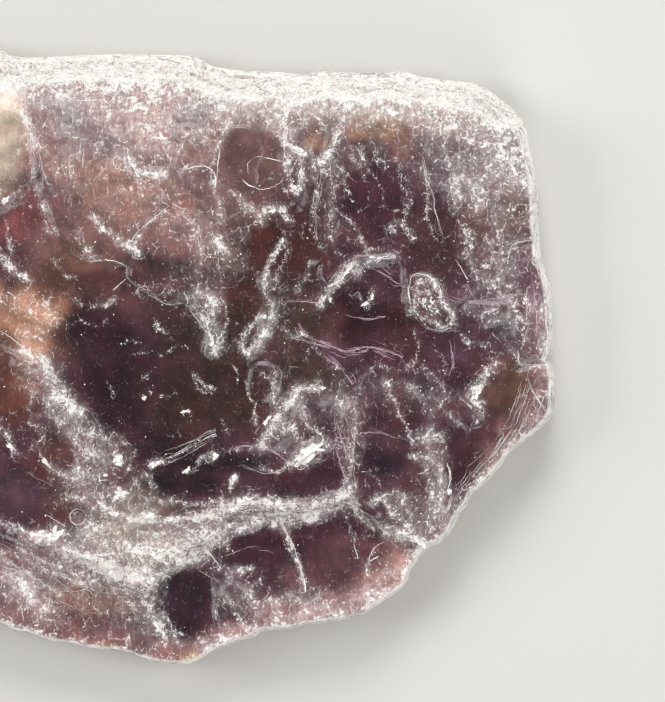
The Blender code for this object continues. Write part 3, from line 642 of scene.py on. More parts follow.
# Single bright plates: the middle in pixels, a length and a width in mm, and degrees
PLATES = [
    ((311, 450), 3.5, 1.15, 32), ((300, 461), 1.4, 0.7, 10),
    ((120, 457), 1.0, 0.6, 40), ((121, 463), 0.7, 0.5, -20),
    ((124, 491), 1.3, 0.7, -25), ((118, 496), 0.8, 0.5, 30),
    ((156, 463), 1.1, 0.5, 25), ((234, 479), 1.3, 0.4, 68),
    ((216, 456), 0.8, 0.5, 50), ((188, 469), 0.9, 0.4, 35),
    ((108, 474), 0.5, 0.4, 0), ((146, 398), 0.6, 0.45, 20),
    ((187, 411), 0.9, 0.3, 5), ((40, 534), 1.8, 0.8, 10),
    ((56, 534), 1.9, 0.9, 24), ((48, 460), 0.8, 0.4, -50),
    ((14, 446), 0.8, 0.4, -55), ((9, 202), 1.0, 0.6, 50),
    ((364, 305), 0.9, 0.4, 30), ((372, 297), 0.7, 0.35, 80),
    ((498, 158), 0.9, 0.5, 20), ((512, 172), 1.2, 0.35, -65),
    ((476, 392), 1.5, 0.5, 55), ((474, 402), 1.0, 0.5, -40),
    ((150, 515), 1.1, 0.5, 12), ((116, 512), 1.0, 0.5, -20),
    ((334, 284), 1.6, 0.35, 42), ((345, 274), 1.3, 0.35, 48),
    ((382, 259), 1.5, 0.3, 8), ((264, 334), 1.2, 0.35, 60),
    ((213, 342), 1.0, 0.4, -70), ((322, 388), 0.8, 0.35, 10),
    ((294, 398), 1.2, 0.3, 50), ((343, 494), 1.5, 0.4, 35),
    ((418, 541), 1.8, 0.5, -28), ((448, 491), 0.7, 0.5, 80),
    ((299, 152), 1.2, 0.4, -30), ((287, 118), 1.0, 0.3, 80),
    ((336, 140), 1.2, 0.3, 65), ((322, 165), 0.7, 0.4, 10),
    ((293, 188), 0.9, 0.4, -40), ((134, 166), 1.0, 0.35, -40),
    ((30, 122), 1.4, 0.3, -72), ((268, 420), 1.0, 0.4, 60),
    ((138, 251), 0.9, 0.5, -45), ((163, 140), 1.0, 0.6, -40),
    ((156, 176), 1.4, 0.4, -8), ((274, 212), 0.9, 0.4, 25),
]

# Lilac threads in the sheets
THREADS = [
    [(345, 316), (365, 319), (385, 317)],
    [(282, 304), (300, 302), (322, 304)],
    [(298, 324), (308, 336), (326, 344), (345, 351), (365, 347), (384, 350), (402, 357)],
    [(320, 340), (345, 352), (365, 352), (372, 347), (395, 358)],
    [(288, 338), (308, 342), (330, 348)],
    [(365, 266), (384, 276), (403, 287), (424, 294)],
    [(378, 265), (390, 275)],
    [(436, 291), (452, 302), (475, 303), (492, 299), (512, 305)],
    [(465, 285), (478, 308)],
    [(448, 340), (452, 360), (448, 376)],
    [(330, 440), (336, 450), (340, 460), (346, 478), (348, 492)],
    [(336, 418), (342, 440), (350, 462)],
    [(225, 452), (240, 446), (256, 446), (272, 450), (290, 462)],
    [(360, 432), (378, 432), (395, 437)],
    [(324, 356), (340, 368), (352, 384)],
    [(536, 262), (541, 300), (543, 340)],
    [(528, 268), (533, 300), (535, 336)],
]

# How far in mm a thread's strands lie beside it, and the share of its length that they cover
THREAD_SPREAD = [
    (0.02, 1.0), (0.03, 1.0), (0.06, 0.8), (0.12, 0.6), (0.2, 0.5),
    (0.3, 0.4),
]

# Clear windows, with hardly any frost: the middle and the reach across and down, in pixels
WINDOWS = [
    ((138, 366), (56, 60)), ((210, 380), (50, 50)), ((22, 498), (26, 18)), ((382, 464), (22, 14)),
    ((460, 462), (13, 28)), ((182, 594), (38, 34)), ((190, 474), (32, 16)), ((250, 160), (28, 30)),
    ((244, 310), (20, 36)), ((375, 200), (40, 30)), ((325, 550), (26, 30)), ((262, 548), (30, 16)),
    ((362, 322), (36, 22)), ((310, 478), (34, 10)), ((502, 394), (18, 22)), ((270, 250), (22, 24)),
    ((100, 276), (26, 14)), ((-70, 400), (40, 44)), ((-60, 160), (36, 34)), ((440, 350), (26, 20)),
]
WINDOW_CLEARNESS = 0.6
WINDOW_EDGE = (0.6, 1.25)

# How frost spreads: what lies everywhere, how far a stroke and its halo reach in half widths,
# the half width in mm from which a stroke has no gaps, and how much of a veil is crust
BASE_FROST = 0.11
STROKE_SPREAD = 1.15
HALO = (0.22, 2.8)
WHOLE_STROKE = 0.9
HALO_CRUST = 0.5
HAZE_CRUST = 0.35

# How much of the rim's white shows: the wall, its turned edge, steep places and the top face; part
# of it is painted light on the side facing the top edge
RIM_FROST = [(0.9, 0.45 * MM), (0.2, 1.6 * MM)]
STEEP = (0.15, 0.7)
STEEP_FROST = 0.12
STEEP_SHARE = 0.34
WALL_SHARE = 0.6
# Painted light: walls that face the slab's top edge this far are wholly white, as if lit from there
WALL_LIT_FACING = (-0.1, 0.6)
EDGE_SHARE = 0.85
RIM_SHARE = 0.6
# Painted light: the rim's white reaches farther onto the top face beside the top edge
RIM_REACH = (0.25 * MM, 1.4 * MM)
RIM_FADE = 1.2

# The way that small torn edges run, as an angle in degrees, at places with a reach in pixels
GRAINS = [
    (88, [(320, 130), (400, 140), (470, 180), (360, 210)], (70, 60)),
    (88, [(50, 270), (80, 165)], (30, 40)),
    (-36, [(20, 560), (60, 580), (100, 600)], (50, 34)),
    (12, [(150, 510), (220, 510), (300, 508)], (60, 16)),
    (20, [(130, 540), (180, 545)], (50, 26)),
    (58, [(520, 400), (490, 450), (455, 500)], (34, 40)),
    (94, [(350, 420), (360, 450), (440, 460)], (30, 50)),
    (-40, [(30, 380), (70, 420), (100, 450)], (34, 34)),
]
GRAIN_SPREAD = 0.45

# The slab's skin: stations round it, the grids on its faces, and the rows of its rim in mm
RING_STATIONS = 960
TOP_SPAN = 256
UNDER_STATIONS = 480
UNDER_INSET = 1.6 * MM
RIM_SHEETS_BELOW = [0.0, 0.3, 0.75, 1.25, 1.7, 2.2, 2.8, 3.4, 4.0, 4.5]
RIM_SHARES_ABOVE = [0.28, 0.58, 1.0]
WIDEST_BAND = (0.5 * MM, 1.6 * MM)
SHEET_LIP = (0.05 * MM, 0.01 * MM)
SHEET_LEAN = 0.03 * MM
BLANK_RADIUS = 30 * MM
BLANK_RISE = 0.2 * MM
NORMAL_STATIONS = 6

# Strands in general: how many, in how many steps, and how they lie on the slab
LACE_PIECES = 2
STRANDS_A_PIECE = 6000
SHARE_ON_LINES = 0.8
STRAND_STEPS = 5
LONG_STRAND_STEPS = 14
LOWEST_STRAND = 3 * MM
STRAND_SINK = 0.15
STRAND_END = 0.12

# Strands of lace, edges, bundles and threads: lengths, and widths and rises from and to, in mm
LACE_LENGTH_SPREAD = (-1.45, 0.45)
LACE_LENGTH_LIMITS = (0.09, 0.7)
LACE_WIDTH = (0.025, 0.07)
LACE_RISE = (0.03, 0.09)
EDGE_LENGTH = 1.6 * MM
EDGE_SIDEWAYS = (0.02 * MM, 0.09 * MM)
RINGED_SIZE = (0.06, 0.07)
LEDGE_SIZE = (0.05, 0.06)
BUNDLE_LENGTH = 1.8 * MM
BUNDLE_PARTS = (0.2, 0.4, 0.6, 0.8, 1.0)
BUNDLE_SHARE = 0.7
BUNDLE_WIDTH = (0.02, 0.05)
BUNDLE_RISE = (0.03, 0.05)
THREAD_LENGTH = 1.5 * MM
THREAD_WIDTH = (0.03, 0.075)
THREAD_RISE = (0.03, 0.06)

# Flakes and the splinters of a bright plate
FLAKES = 9000
SCATTER_MARGIN = 0.5 * MM
LACE_GATHERING = 2.2
FLAKE_GATHERING = 1.6
FLAKE_WIDTH = (0.06 * MM, 0.15 * MM)
FLAKE_THICKNESS = 0.03 * MM
FLAKE_LIFT = 0.01 * MM
FLAKE_LEAN = 0.35
FLAT_WIDTH = 0.2 * MM
SPLINTER_THICKNESS = 0.05 * MM
SPLINTER_TURN = 0.25
SPLINTERS_A_PLATE = 9

# Seeds of the random draws
LACE_SEED = 200
EDGE_SEED = 300
THREAD_SEED = 400
FLAKE_SEED = 500

# Colours, as red, green, blue bytes of what the eye sees
TORN_GREY = (234, 225, 221)
TORN_WHITE = (251, 249, 245)
WALL_GREY = (168, 152, 154)
WALL_WHITE = (240, 238, 232)
DULL_STRAND = (150, 124, 126)
WHITE_STRAND = (244, 241, 236)
DULL_LILAC = (118, 86, 100)
PALE_LILAC = (206, 174, 188)
FLOOR_GREY = (206, 204, 200)

# The studio: the camera, and each lamp's name, place and power in watts
LENS = 200.0
SENSOR = 36.0
SHARP_HEIGHT = 2.5 * MM
LAMP_SIZE = 0.25
LAMPS = [
    ("back softbox", (0.02, 0.42, 0.30), 1.9),
    ("left softbox", (-0.40, 0.05, 0.28), 1.2),
    ("front softbox", (0.12, -0.40, 0.26), 1.0),
    ("right softbox", (0.42, 0.0, 0.24), 0.9),
]
WORLD_STRENGTH = 0.25


def spot(points):
    """Spots of the photograph, in pixels, as metres on the slab."""
    place = np.asarray(points, float).reshape(-1, 2)
    from_middle = np.column_stack([place[:, 0] - MIDDLE_COLUMN, MIDDLE_ROW - place[:, 1]])
    return from_middle * METRES_PER_PIXEL


def smooth_line(points, closed, pieces=4):
    """A Catmull-Rom curve through the points, with this many pieces to each stretch."""
    ends = points if closed else np.vstack([points[:1], points, points[-1:]])
    count = len(points) if closed else len(points) - 1
    found = []
    for i in range(count):
        if closed:
            a, b, c, d = (points[(i + k) % len(points)] for k in (-1, 0, 1, 2))
        else:
            a, b, c, d = ends[i : i + 4]
        for t in np.arange(pieces) / pieces:
            squared = (2 * a - 5 * b + 4 * c - d) * t**2
            cubed = (3 * b - a - 3 * c + d) * t**3
            found.append(0.5 * (2 * b + (c - a) * t + squared + cubed))
    if not closed:
        found.append(points[-1])
    return np.array(found)


def open_line(points):
    """A smooth line through spots of the photograph."""
    return smooth_line(spot(points), closed=False)


def closed_line(points, pieces=4):
    """A smooth closed line through spots of the photograph."""
    return smooth_line(spot(points), closed=True, pieces=pieces)


def distance_to_line(place, line, closed):
    """Distance from each place to a line of points."""
    ends = np.roll(line, -1, axis=0) if closed else line[1:]
    nearest = np.full(len(place), np.inf)
    for start, end in zip(line, ends):
        along = end - start
        share = np.clip(((place - start) @ along) / max(along @ along, 1e-18), 0, 1)
        away = np.hypot(*(place - start - share[:, None] * along).T)
        nearest = np.minimum(nearest, away)
    return nearest


def near_line(place, line, reach):
    """Distance from each place to an open line, as infinity where it is past reach."""
    away = np.full(len(place), np.inf)
    close = np.all((place > line.min(axis=0) - reach) & (place < line.max(axis=0) + reach), axis=1)
    away[close] = distance_to_line(place[close], line, closed=False)
    return away


def inside(place, line):
    """True for each place that a closed line goes round."""
    within = np.zeros(len(place), bool)
    for (x0, y0), (x1, y1) in zip(line, np.roll(line, -1, axis=0)):
        if y0 == y1:
            continue
        crosses = (y0 > place[:, 1]) != (y1 > place[:, 1])
        within ^= crosses & (place[:, 0] < x0 + (place[:, 1] - y0) * (x1 - x0) / (y1 - y0))
    return within


def depth_inside(place, line, closed_by=None):
    """How deep each place is inside a line, which is closed, or closed far off by more points."""
    closed = closed_by is None
    side = np.where(inside(place, line if closed else np.vstack([line, closed_by])), 1, -1)
    return side * distance_to_line(place, line, closed)


def spot_distance(place, middle, reach):
    """Distance from each place to a spot, in the reach across and down that it has in pixels."""
    size = np.array(reach) * METRES_PER_PIXEL
    return np.hypot(*((place - spot([middle])) / size).T)


def run_along(line):
    """How far along a line each of its points is."""
    return np.concatenate([[0], np.cumsum(np.hypot(*np.diff(line, axis=0).T))])


def leftward(along):
    """Unit vectors in the plane, square to these directions on their left."""
    across = np.stack([-along[..., 1], along[..., 0]], axis=-1)
    return across / np.maximum(np.hypot(across[..., 0], across[..., 1]), 1e-9)[..., None]


def swell(place, wavelength, seed):
    """A smooth wandering value, mostly from -1 to 1, made of plane waves of about this length."""
    random = np.random.default_rng(seed)
    total = np.zeros(len(place))
    waves = 9
    for _ in range(waves):
        heading = random.uniform(0, math.tau)
        length = wavelength * random.uniform(0.7, 1.5)
        phase = random.uniform(0, math.tau)
        across = place @ np.array([math.cos(heading), math.sin(heading)])
        total += np.sin(across * math.tau / length + phase)
    return total / (1.6 * math.sqrt(waves))


def drift(place, reach, wavelength, seed):
    """A smooth wandering shift in the plane at each place."""
    shift = [swell(place, wavelength, seed), swell(place, wavelength, seed + 1)]
    return reach * np.column_stack(shift)


def ease(low, high, value):
    """0 below low, 1 above high, and a smooth change between them."""
    t = np.clip((value - low) / (high - low), 0, 1)
    return t * t * (3 - 2 * t)


def blend(first, second, share):
    """The first value where the share is 0, and the second where it is 1."""
    return first + (second - first) * share


def over(*shares):
    """What is covered by any of several layers, from the share that each one covers."""
    bare = 1 - shares[0]
    for share in shares[1:]:
        bare = bare * (1 - share)
    return 1 - bare


def sheet_step(depth):
    """0 outside a sheet's edge and 1 inside it, from the depth inside the edge."""
    return ease(-RISER_HALF_WIDTH, RISER_HALF_WIDTH, depth)


def ragged_places(place):
    """The places shifted a little, so that lines measured from them come out torn."""
    return place + drift(place, *TORN_EDGE)


def top_height(place):
    """Height of the top face over each place, in metres above the resting face."""
    height = np.full(len(place), MID_LEVEL)
    for rise, wavelength, seed in (BROAD_SWELL, SHORT_SWELL):
        height += rise * swell(place, wavelength, seed)
    ragged = ragged_places(place)
    for rise, points in LEDGES:
        height += rise * MM * sheet_step(depth_inside(ragged, closed_line(points)))
    for points in STRIATIONS:
        depth = depth_inside(place, open_line(points), spot(FAR_PAST_THE_RIM))
        height -= STRIATION_DROP * sheet_step(depth)
    lumps = LUMPINESS[0] + LUMPINESS[1] * swell(place, *CRUST_LUMPS)
    for rise, half_width, points in CRUSTS:
        away = near_line(ragged, open_line(points), 2 * half_width * MM) / (half_width * MM)
        height += rise * MM * lumps * (1 - ease(0.25, 1.25, away))
    for points in GROOVES:
        away = near_line(place, open_line(points), 2 * GROOVE_HALF_WIDTH)
        height -= GROOVE_DEPTH * (1 - ease(0.1, 1.0, away / GROOVE_HALF_WIDTH))
    for middle, radius in PITS:
        away = np.hypot(*(ragged - spot([middle])).T)
        height -= PIT_DEPTH * (1 - ease(0.5, 1.2, away / (radius * MM)))
    return height


def torn_shift(place):
    """How far torn edges wander from a smooth line at each place."""
    return sum(drift(place, *tear) for tear in FROST_TEARS)


def torn_share(place):
    """How whole a frost line is at each place, from a faint trace to all of it."""
    return 0.5 + 0.5 * ease(-0.7, 0.35, swell(place, *FROST_GAPS))


def thinned(bare, window):
    """The bare share in a clear window, which leaves thick frost as it is."""
    return bare + window * (1 - bare) * np.clip(2.2 * bare - 0.9, 0, 1)


def frost_density(place):
    """Each place's torn crust, and the thin veil of frost beside it, both from 0 to 1."""
    ragged = place + torn_shift(place)
    whole = torn_share(place)
    clear = np.full(len(place), 1 - BASE_FROST)
    unveiled = np.ones(len(place))
    halo_share, halo_reach = HALO
    for density, half_width, points in FROST:
        reach = 2 * halo_reach * half_width * MM
        away = near_line(ragged, open_line(points), reach) / (half_width * MM)
        core = density * whole if half_width < WHOLE_STROKE else density
        clear *= 1 - core * np.exp(-((away / STROKE_SPREAD) ** 2))
        halo = density * halo_share * np.exp(-((away / halo_reach) ** 2))
        clear *= 1 - HALO_CRUST * halo
        unveiled *= 1 - halo
    for density, half_width, points in HAZE:
        away = near_line(ragged, open_line(points), 2 * half_width * MM) / (half_width * MM)
        veil = density * np.exp(-(away**2))
        clear *= 1 - HAZE_CRUST * veil
        unveiled *= 1 - veil
    for middle, reach in WINDOWS:
        window = WINDOW_CLEARNESS * (1 - ease(*WINDOW_EDGE, spot_distance(ragged, middle, reach)))
        clear = thinned(clear, window)
        unveiled = thinned(unveiled, window)
    return 1 - clear, 1 - unveiled


def linear(colour):
    """A colour of 0 to 255 bytes, as the eye sees it, in the linear values that shaders take."""
    value = np.asarray(colour, float) / 255
    return np.where(value <= 0.04045, value / 12.92, ((value + 0.055) / 1.055) ** 2.4)


def sheet_tint(place):
    """The sheets' colour at each place, with a painted glow where light shines through, as linear
    red, green and blue.
    """
    moved = place + sum(drift(place, *edge) for edge in TINT_EDGES)
    tint = np.tile(linear(TINTS[0][0]), (len(place), 1))
    for colour, middles, reach in TINTS[1:]:
        away = np.min([spot_distance(moved, middle, reach) for middle in middles], axis=0)
        tint = blend(tint, linear(colour), (1 - ease(0.25, 1.5, away))[:, None])
    grey = tint.mean(axis=1, keepdims=True)
    return np.clip(blend(grey, tint, SATURATION), 0.001, 1)


def even_stations(line, count):
    """The closed line as this many points, evenly spaced along it."""
    ring = np.vstack([line, line[:1]])
    run = run_along(ring)
    at = np.linspace(0, run[-1], count, endpoint=False)
    return np.column_stack([np.interp(at, run, ring[:, 0]), np.interp(at, run, ring[:, 1])])


def outward(ring):
    """Unit outward normals of a ring of points that runs anticlockwise seen from above."""
    ahead, behind = (np.roll(ring, step, axis=0) for step in (-NORMAL_STATIONS, NORMAL_STATIONS))
    return -leftward(ahead - behind)


def facing_out(place, ring):
    """How far the rim nearest to each place faces the slab's top edge, from -1 to 1."""
    nearest = [np.argmin(((ring - one) ** 2).sum(axis=1)) for one in place]
    return outward(ring)[nearest, 1]


def outline_ring(count):
    """The slab's outline, anticlockwise from its far left corner."""
    points = OUTLINE[::-1]
    start = points.index(FIRST_CORNER)
    return even_stations(closed_line(points[start:] + points[:start], pieces=6), count)


def rim_inset(height, normal):
    """How far the rim is drawn in from the outline at each height, as on the solid."""
    faces_top_edge = ease(*TOP_EDGE_FACING, normal[:, 1])
    bevel = blend(PLAIN_BEVEL, TOP_EDGE_BEVEL, faces_top_edge)
    rise = np.maximum(height - WIDEST_LEVEL, 0) / (MID_LEVEL - WIDEST_LEVEL)
    drop = np.maximum(WIDEST_LEVEL - height, 0) / WIDEST_LEVEL
    curve = blend(PLAIN_CURVE, TOP_EDGE_CURVE, faces_top_edge)
    return bevel * rise**curve + FOOT_ROUNDING * drop**2


def coordinates(piece):
    """The vertices of a piece as an array of x, y, z."""
    place = np.empty(len(piece.data.vertices) * 3, np.float32)
    piece.data.vertices.foreach_get("co", place)
    return place.reshape(-1, 3).astype(float)


def put_vertices(piece, place):
    piece.data.vertices.foreach_set("co", np.asarray(place, np.float32).ravel())
    piece.data.update()


def edit(piece, select="DESELECT"):
    """Go into edit mode on one piece, with all of it selected or none of it."""
    bpy.ops.object.select_all(action="DESELECT")
    piece.select_set(True)
    bpy.context.view_layer.objects.active = piece
    bpy.ops.object.mode_set(mode="EDIT")
    bpy.ops.mesh.select_mode(type="VERT")
    bpy.ops.mesh.select_all(action=select)


def leave_edit():
    bpy.ops.object.mode_set(mode="OBJECT")


def select_vertices(piece, wanted):
    """Select just these vertices of a piece that is in edit mode, and the edges between them."""
    leave_edit()
    piece.data.vertices.foreach_set("select", np.asarray(wanted, bool))
    bpy.ops.object.mode_set(mode="EDIT")
    bpy.ops.mesh.select_mode(type="VERT")
    bpy.ops.mesh.select_mode(type="EDGE")


def rim_levels(ring, normal):
    """The rim's rows from the foot up: each row's heights and insets at every station."""
    rim_place = ring - normal * PLAIN_BEVEL
    for _ in range(3):
        top = top_height(rim_place) - RIM_DROP
        rim_place = ring - normal * rim_inset(top, normal)[:, None]
    low = [np.full(len(ring), level * MM) for level in RIM_SHEETS_BELOW]
    levels = low + [blend(low[-1], top, share) for share in RIM_SHARES_ABOVE]
    rows = [(levels[0], rim_inset(levels[0], normal))]
    for number, (bottom, upper) in enumerate(zip(levels, levels[1:])):
        middle = (bottom + upper) / 2
        back = sum(
            reach * (1 + swell(ring, wavelength, seed + number))
            for reach, wavelength, seed in RIM_SHEET_DEPTHS
        )
        stands = 1 - ease(*WIDEST_BAND, np.abs(middle - WIDEST_LEVEL))
        inset = rim_inset(middle, normal) + back * (1 - 0.9 * stands)
        if number:
            rows.append((bottom + SHEET_LIP[0], inset - SHEET_LIP[1]))
        rows.append((upper, inset + SHEET_LEAN))
    rows[-1] = (top, np.maximum(rim_inset(top, normal), rows[-1][1]))
    return rows


def blank_ring(stations):
    """A plain ring of edges, to be given its real places."""
    bpy.ops.object.select_all(action="DESELECT")
    bpy.ops.mesh.primitive_circle_add(
        vertices=stations, radius=BLANK_RADIUS, fill_type="NOTHING"
    )
    return bpy.context.object


def shape_slab():
    """The slab's closed skin: a ring extruded up the rim, and both faces filled with a grid."""
    count = RING_STATIONS
    ring = outline_ring(count)
    normal = outward(ring)
    rows = rim_levels(ring, normal)
    slab = blank_ring(count)
    slab.name = "lepidolite"
    edit(slab, "SELECT")
    bpy.ops.mesh.select_mode(type="EDGE")
    for _ in rows[1:]:
        bpy.ops.mesh.extrude_edges_move(TRANSFORM_OT_translate={"value": (0, 0, BLANK_RISE)})
    leave_edit()
    place = coordinates(slab)
    for number, (level, inset) in enumerate(rows):
        ring_place = ring - normal * inset[:, None]
        place[number * count : (number + 1) * count] = np.column_stack([ring_place, level])
    put_vertices(slab, place)
    fill_face(slab, np.arange(len(place)) >= len(place) - count, TOP_SPAN)
    faces_end = len(slab.data.vertices)
    add_underside(slab, ring - normal * (rows[0][1] + UNDER_INSET)[:, None])
    edit(slab, "SELECT")
    bpy.ops.mesh.normals_make_consistent(inside=False)
    leave_edit()
    ranges = {
        "rim": len(place) - count,
        "top": slice(len(place), faces_end),
        "under": slice(faces_end + UNDER_STATIONS, len(slab.data.vertices)),
    }
    return slab, ranges


def fill_face(piece, ring_vertices, span):
    """Fill a closed ring of edges with a grid whose first corner is the ring's first station."""
    edit(piece)
    select_vertices(piece, ring_vertices)
    shape = bmesh.from_edit_mesh(piece.data)
    shape.verts.ensure_lookup_table()
    shape.select_history.clear()
    shape.select_history.add(shape.verts[int(np.flatnonzero(ring_vertices)[0])])
    bpy.ops.mesh.fill_grid(span=span, offset=0, use_interp_simple=True)
    leave_edit()


def add_underside(slab, wide_ring):
    """Bridge the foot to a coarser ring, and fill that with a grid."""
    inner = blank_ring(UNDER_STATIONS)
    share = RING_STATIONS // UNDER_STATIONS
    put_vertices(inner, np.column_stack([wide_ring[::share], np.zeros(UNDER_STATIONS)]))
    before = len(slab.data.vertices)
    slab.select_set(True)
    bpy.context.view_layer.objects.active = slab
    bpy.ops.object.join()
    number = np.arange(len(slab.data.vertices))
    edit(slab)
    select_vertices(slab, (number < RING_STATIONS) | (number >= before))
    bpy.ops.mesh.bridge_edge_loops()
    leave_edit()
    number = np.arange(len(slab.data.vertices))
    inner_ring = (number >= before) & (number < before + UNDER_STATIONS)
    fill_face(slab, inner_ring, TOP_SPAN // share)


def finish_slab(slab, ranges):
    """Raise the faces between the rims, and store tint, frost, veil and rim on every vertex."""
    place = coordinates(slab)
    wall_end, top, under = ranges["rim"], ranges["top"], ranges["under"]
    flat = place[:, :2]
    ring = flat[wall_end : wall_end + RING_STATIONS : 3]
    depth = np.full(len(place), np.inf)
    depth[top] = distance_to_line(flat[top], ring, closed=True)
    density, veil = frost_density(flat)
    crumple = sum(share * swell(flat[top], *wave) for share, *wave in CRUMPLES)
    height = top_height(flat[top]) + CRUMPLE_HEIGHT * crumple * (0.25 + density[top])
    place[top, 2] = height - RIM_DROP * (1 - ease(0, RIM_ROUNDING, depth[top]))
    for rise, points in UNDERSIDE_RECESSES:
        deep = depth_inside(flat[under], spot(points))
        place[under, 2] += rise * MM * ease(0, RIM_ROUNDING, deep)
    put_vertices(slab, place)

    normals = np.empty(len(place) * 3, np.float32)
    slab.data.vertices.foreach_get("normal", normals)
    steepness = ease(*STEEP, 1 - normals.reshape(-1, 3)[:, 2] ** 2)
    rim = np.zeros(len(place))
    # Painted light: the wall, and the white beside it on the top face, are whiter and wider where
    # they face the slab's top edge, as if lit from there
    rim[:wall_end] = blend(WALL_SHARE, 1, ease(*WALL_LIT_FACING, facing_out(flat[:wall_end], ring)))
    rim[wall_end : wall_end + RING_STATIONS] = EDGE_SHARE
    reach = blend(*RIM_REACH, ease(*TOP_EDGE_FACING, facing_out(flat[top], ring)))
    on_top = RIM_SHARE * np.exp(-((depth[top] / reach) ** RIM_FADE))
    rim[top] = np.maximum(on_top, STEEP_SHARE * steepness[top])
    for share, reach in RIM_FROST:
        density = over(density, share * np.exp(-((depth / reach) ** 2)))
    density = over(density, STEEP_FROST * steepness)
    tint = np.ones((len(place), 4))
    tint[:, :3] = sheet_tint(flat)
    store(slab, "tint", "FLOAT_COLOR", tint)
    store(slab, "frost", "FLOAT", density)
    store(slab, "veil", "FLOAT", veil)
    store(slab, "rim", "FLOAT", rim)
    slab.data.shade_smooth()


def store(piece, name, kind, values):
    """Keep a value or a colour on each vertex of a piece."""
    attribute = piece.data.attributes.new(name, kind, "POINT")
    slot = "color" if kind == "FLOAT_COLOR" else "value"
    attribute.data.foreach_set(slot, np.asarray(values, np.float32).ravel())


class Value:
    """A shader socket that takes part in sums written out in Python."""

    def __init__(self, shader, socket):
        self.shader = shader
        self.socket = socket

    def worked(self, operation, *values):
        settings = {"operation": operation}
        names = ["Value", "Value_001", "Value_002"]
        return self.shader.node("ShaderNodeMath", "Value", settings, dict(zip(names, values)))

    def __add__(self, other):
        return self.worked("ADD", self, other)

    def __sub__(self, other):
        return self.worked("SUBTRACT", self, other)

    def __rsub__(self, other):
        return self.worked("SUBTRACT", other, self)

    def __mul__(self, other):
        return self.worked("MULTIPLY", self, other)

    def __truediv__(self, other):
        return self.worked("DIVIDE", self, other)

    def __abs__(self):
        return self.worked("ABSOLUTE", self)

    __radd__ = __add__
    __rmul__ = __mul__

    def eased(self, low, high):
        """0 below low, 1 above high, smooth between them."""
        settings = {"interpolation_type": "SMOOTHSTEP"}
        sockets = {"Value": self, "From Min": low, "From Max": high}
        return self.shader.node("ShaderNodeMapRange", "Result", settings, sockets)


class Shader:
    """A Principled material whose patterns read places on the object, in millimetres."""

    def __init__(self, name):
        self.material = bpy.data.materials.new(name)
        self.material.use_nodes = True
        self.nodes = self.material.node_tree.nodes
        self.links = self.material.node_tree.links
        self.surface = self.nodes["Principled BSDF"]
        self.place = self.vector("SCALE", self.node("ShaderNodeTexCoord", "Object"), 1 / MM)

    def node(self, kind, output, settings=None, sockets=None):
        """A new node with its settings made first, and then its sockets' values or links."""
        made = self.nodes.new(kind)
        for name, value in (settings or {}).items():
            setattr(made, name, value)
        by_name = {socket.identifier: socket for socket in made.inputs}
        for name, value in (sockets or {}).items():
            self.put(by_name[name], value)
        found = {socket.identifier: socket for socket in made.outputs}
        return Value(self, found[output])

    def put(self, socket, value):
        if isinstance(value, Value):
            self.links.new(value.socket, socket)
        else:
            socket.default_value = value

    def give(self, name, value):
        self.put(self.surface.inputs[name], value)

    def vector(self, operation, first, second):
        other = "Scale" if operation == "SCALE" else "Vector_001"
        sockets = {"Vector": first, other: second}
        return self.node("ShaderNodeVectorMath", "Vector", {"operation": operation}, sockets)

    def attribute(self, name, output):
        return self.node("ShaderNodeAttribute", output, {"attribute_name": name})

    def noise(self, place, scale, detail=2.0, output="Fac", rough=0.5):
        sockets = {"Vector": place, "Scale": scale, "Detail": detail, "Roughness": rough}
        return self.node("ShaderNodeTexNoise", output, None, sockets)

    def cells(self, place, scale, feature):
        sockets = {"Vector": place, "Scale": scale}
        return self.node("ShaderNodeTexVoronoi", "Distance", {"feature": feature}, sockets)

    def warped(self, place, scale, reach, detail=2.0):
        """The place pushed about by noise of this scale, by up to about this reach."""
        push = self.noise(place, scale, detail, "Color")
        push = self.vector("SUBTRACT", push, (0.5, 0.5, 0.5))
        return self.vector("ADD", place, self.vector("SCALE", push, 2 * reach))

    def mixed(self, factor, first, second, blend="MIX"):
        settings = {"data_type": "RGBA", "blend_type": blend}
        sockets = {"Factor_Float": factor, "A_Color": first, "B_Color": second}
        return self.node("ShaderNodeMix", "Result_Color", settings, sockets)

    def line(self, place, scale, width, detail):
        """Thin wandering lines of this width where a noise passes its middle value."""
        away = abs(self.noise(place, scale, detail) - 0.5)
        return 1 - (away / (width + 0.0005)).eased(0.45, 1.0)

    def shifted(self, place, reach):
        """The place moved along, so that a second noise of it is another one."""
        return self.vector("ADD", place, (reach, 1.7 * reach, 0.6 * reach))

    def bump(self, height, distance):
        sockets = {"Height": height, "Distance": distance, "Strength": 1.0}
        return self.node("ShaderNodeBump", "Normal", None, sockets)


def rgba(colour):
    return (*linear(colour), 1.0)


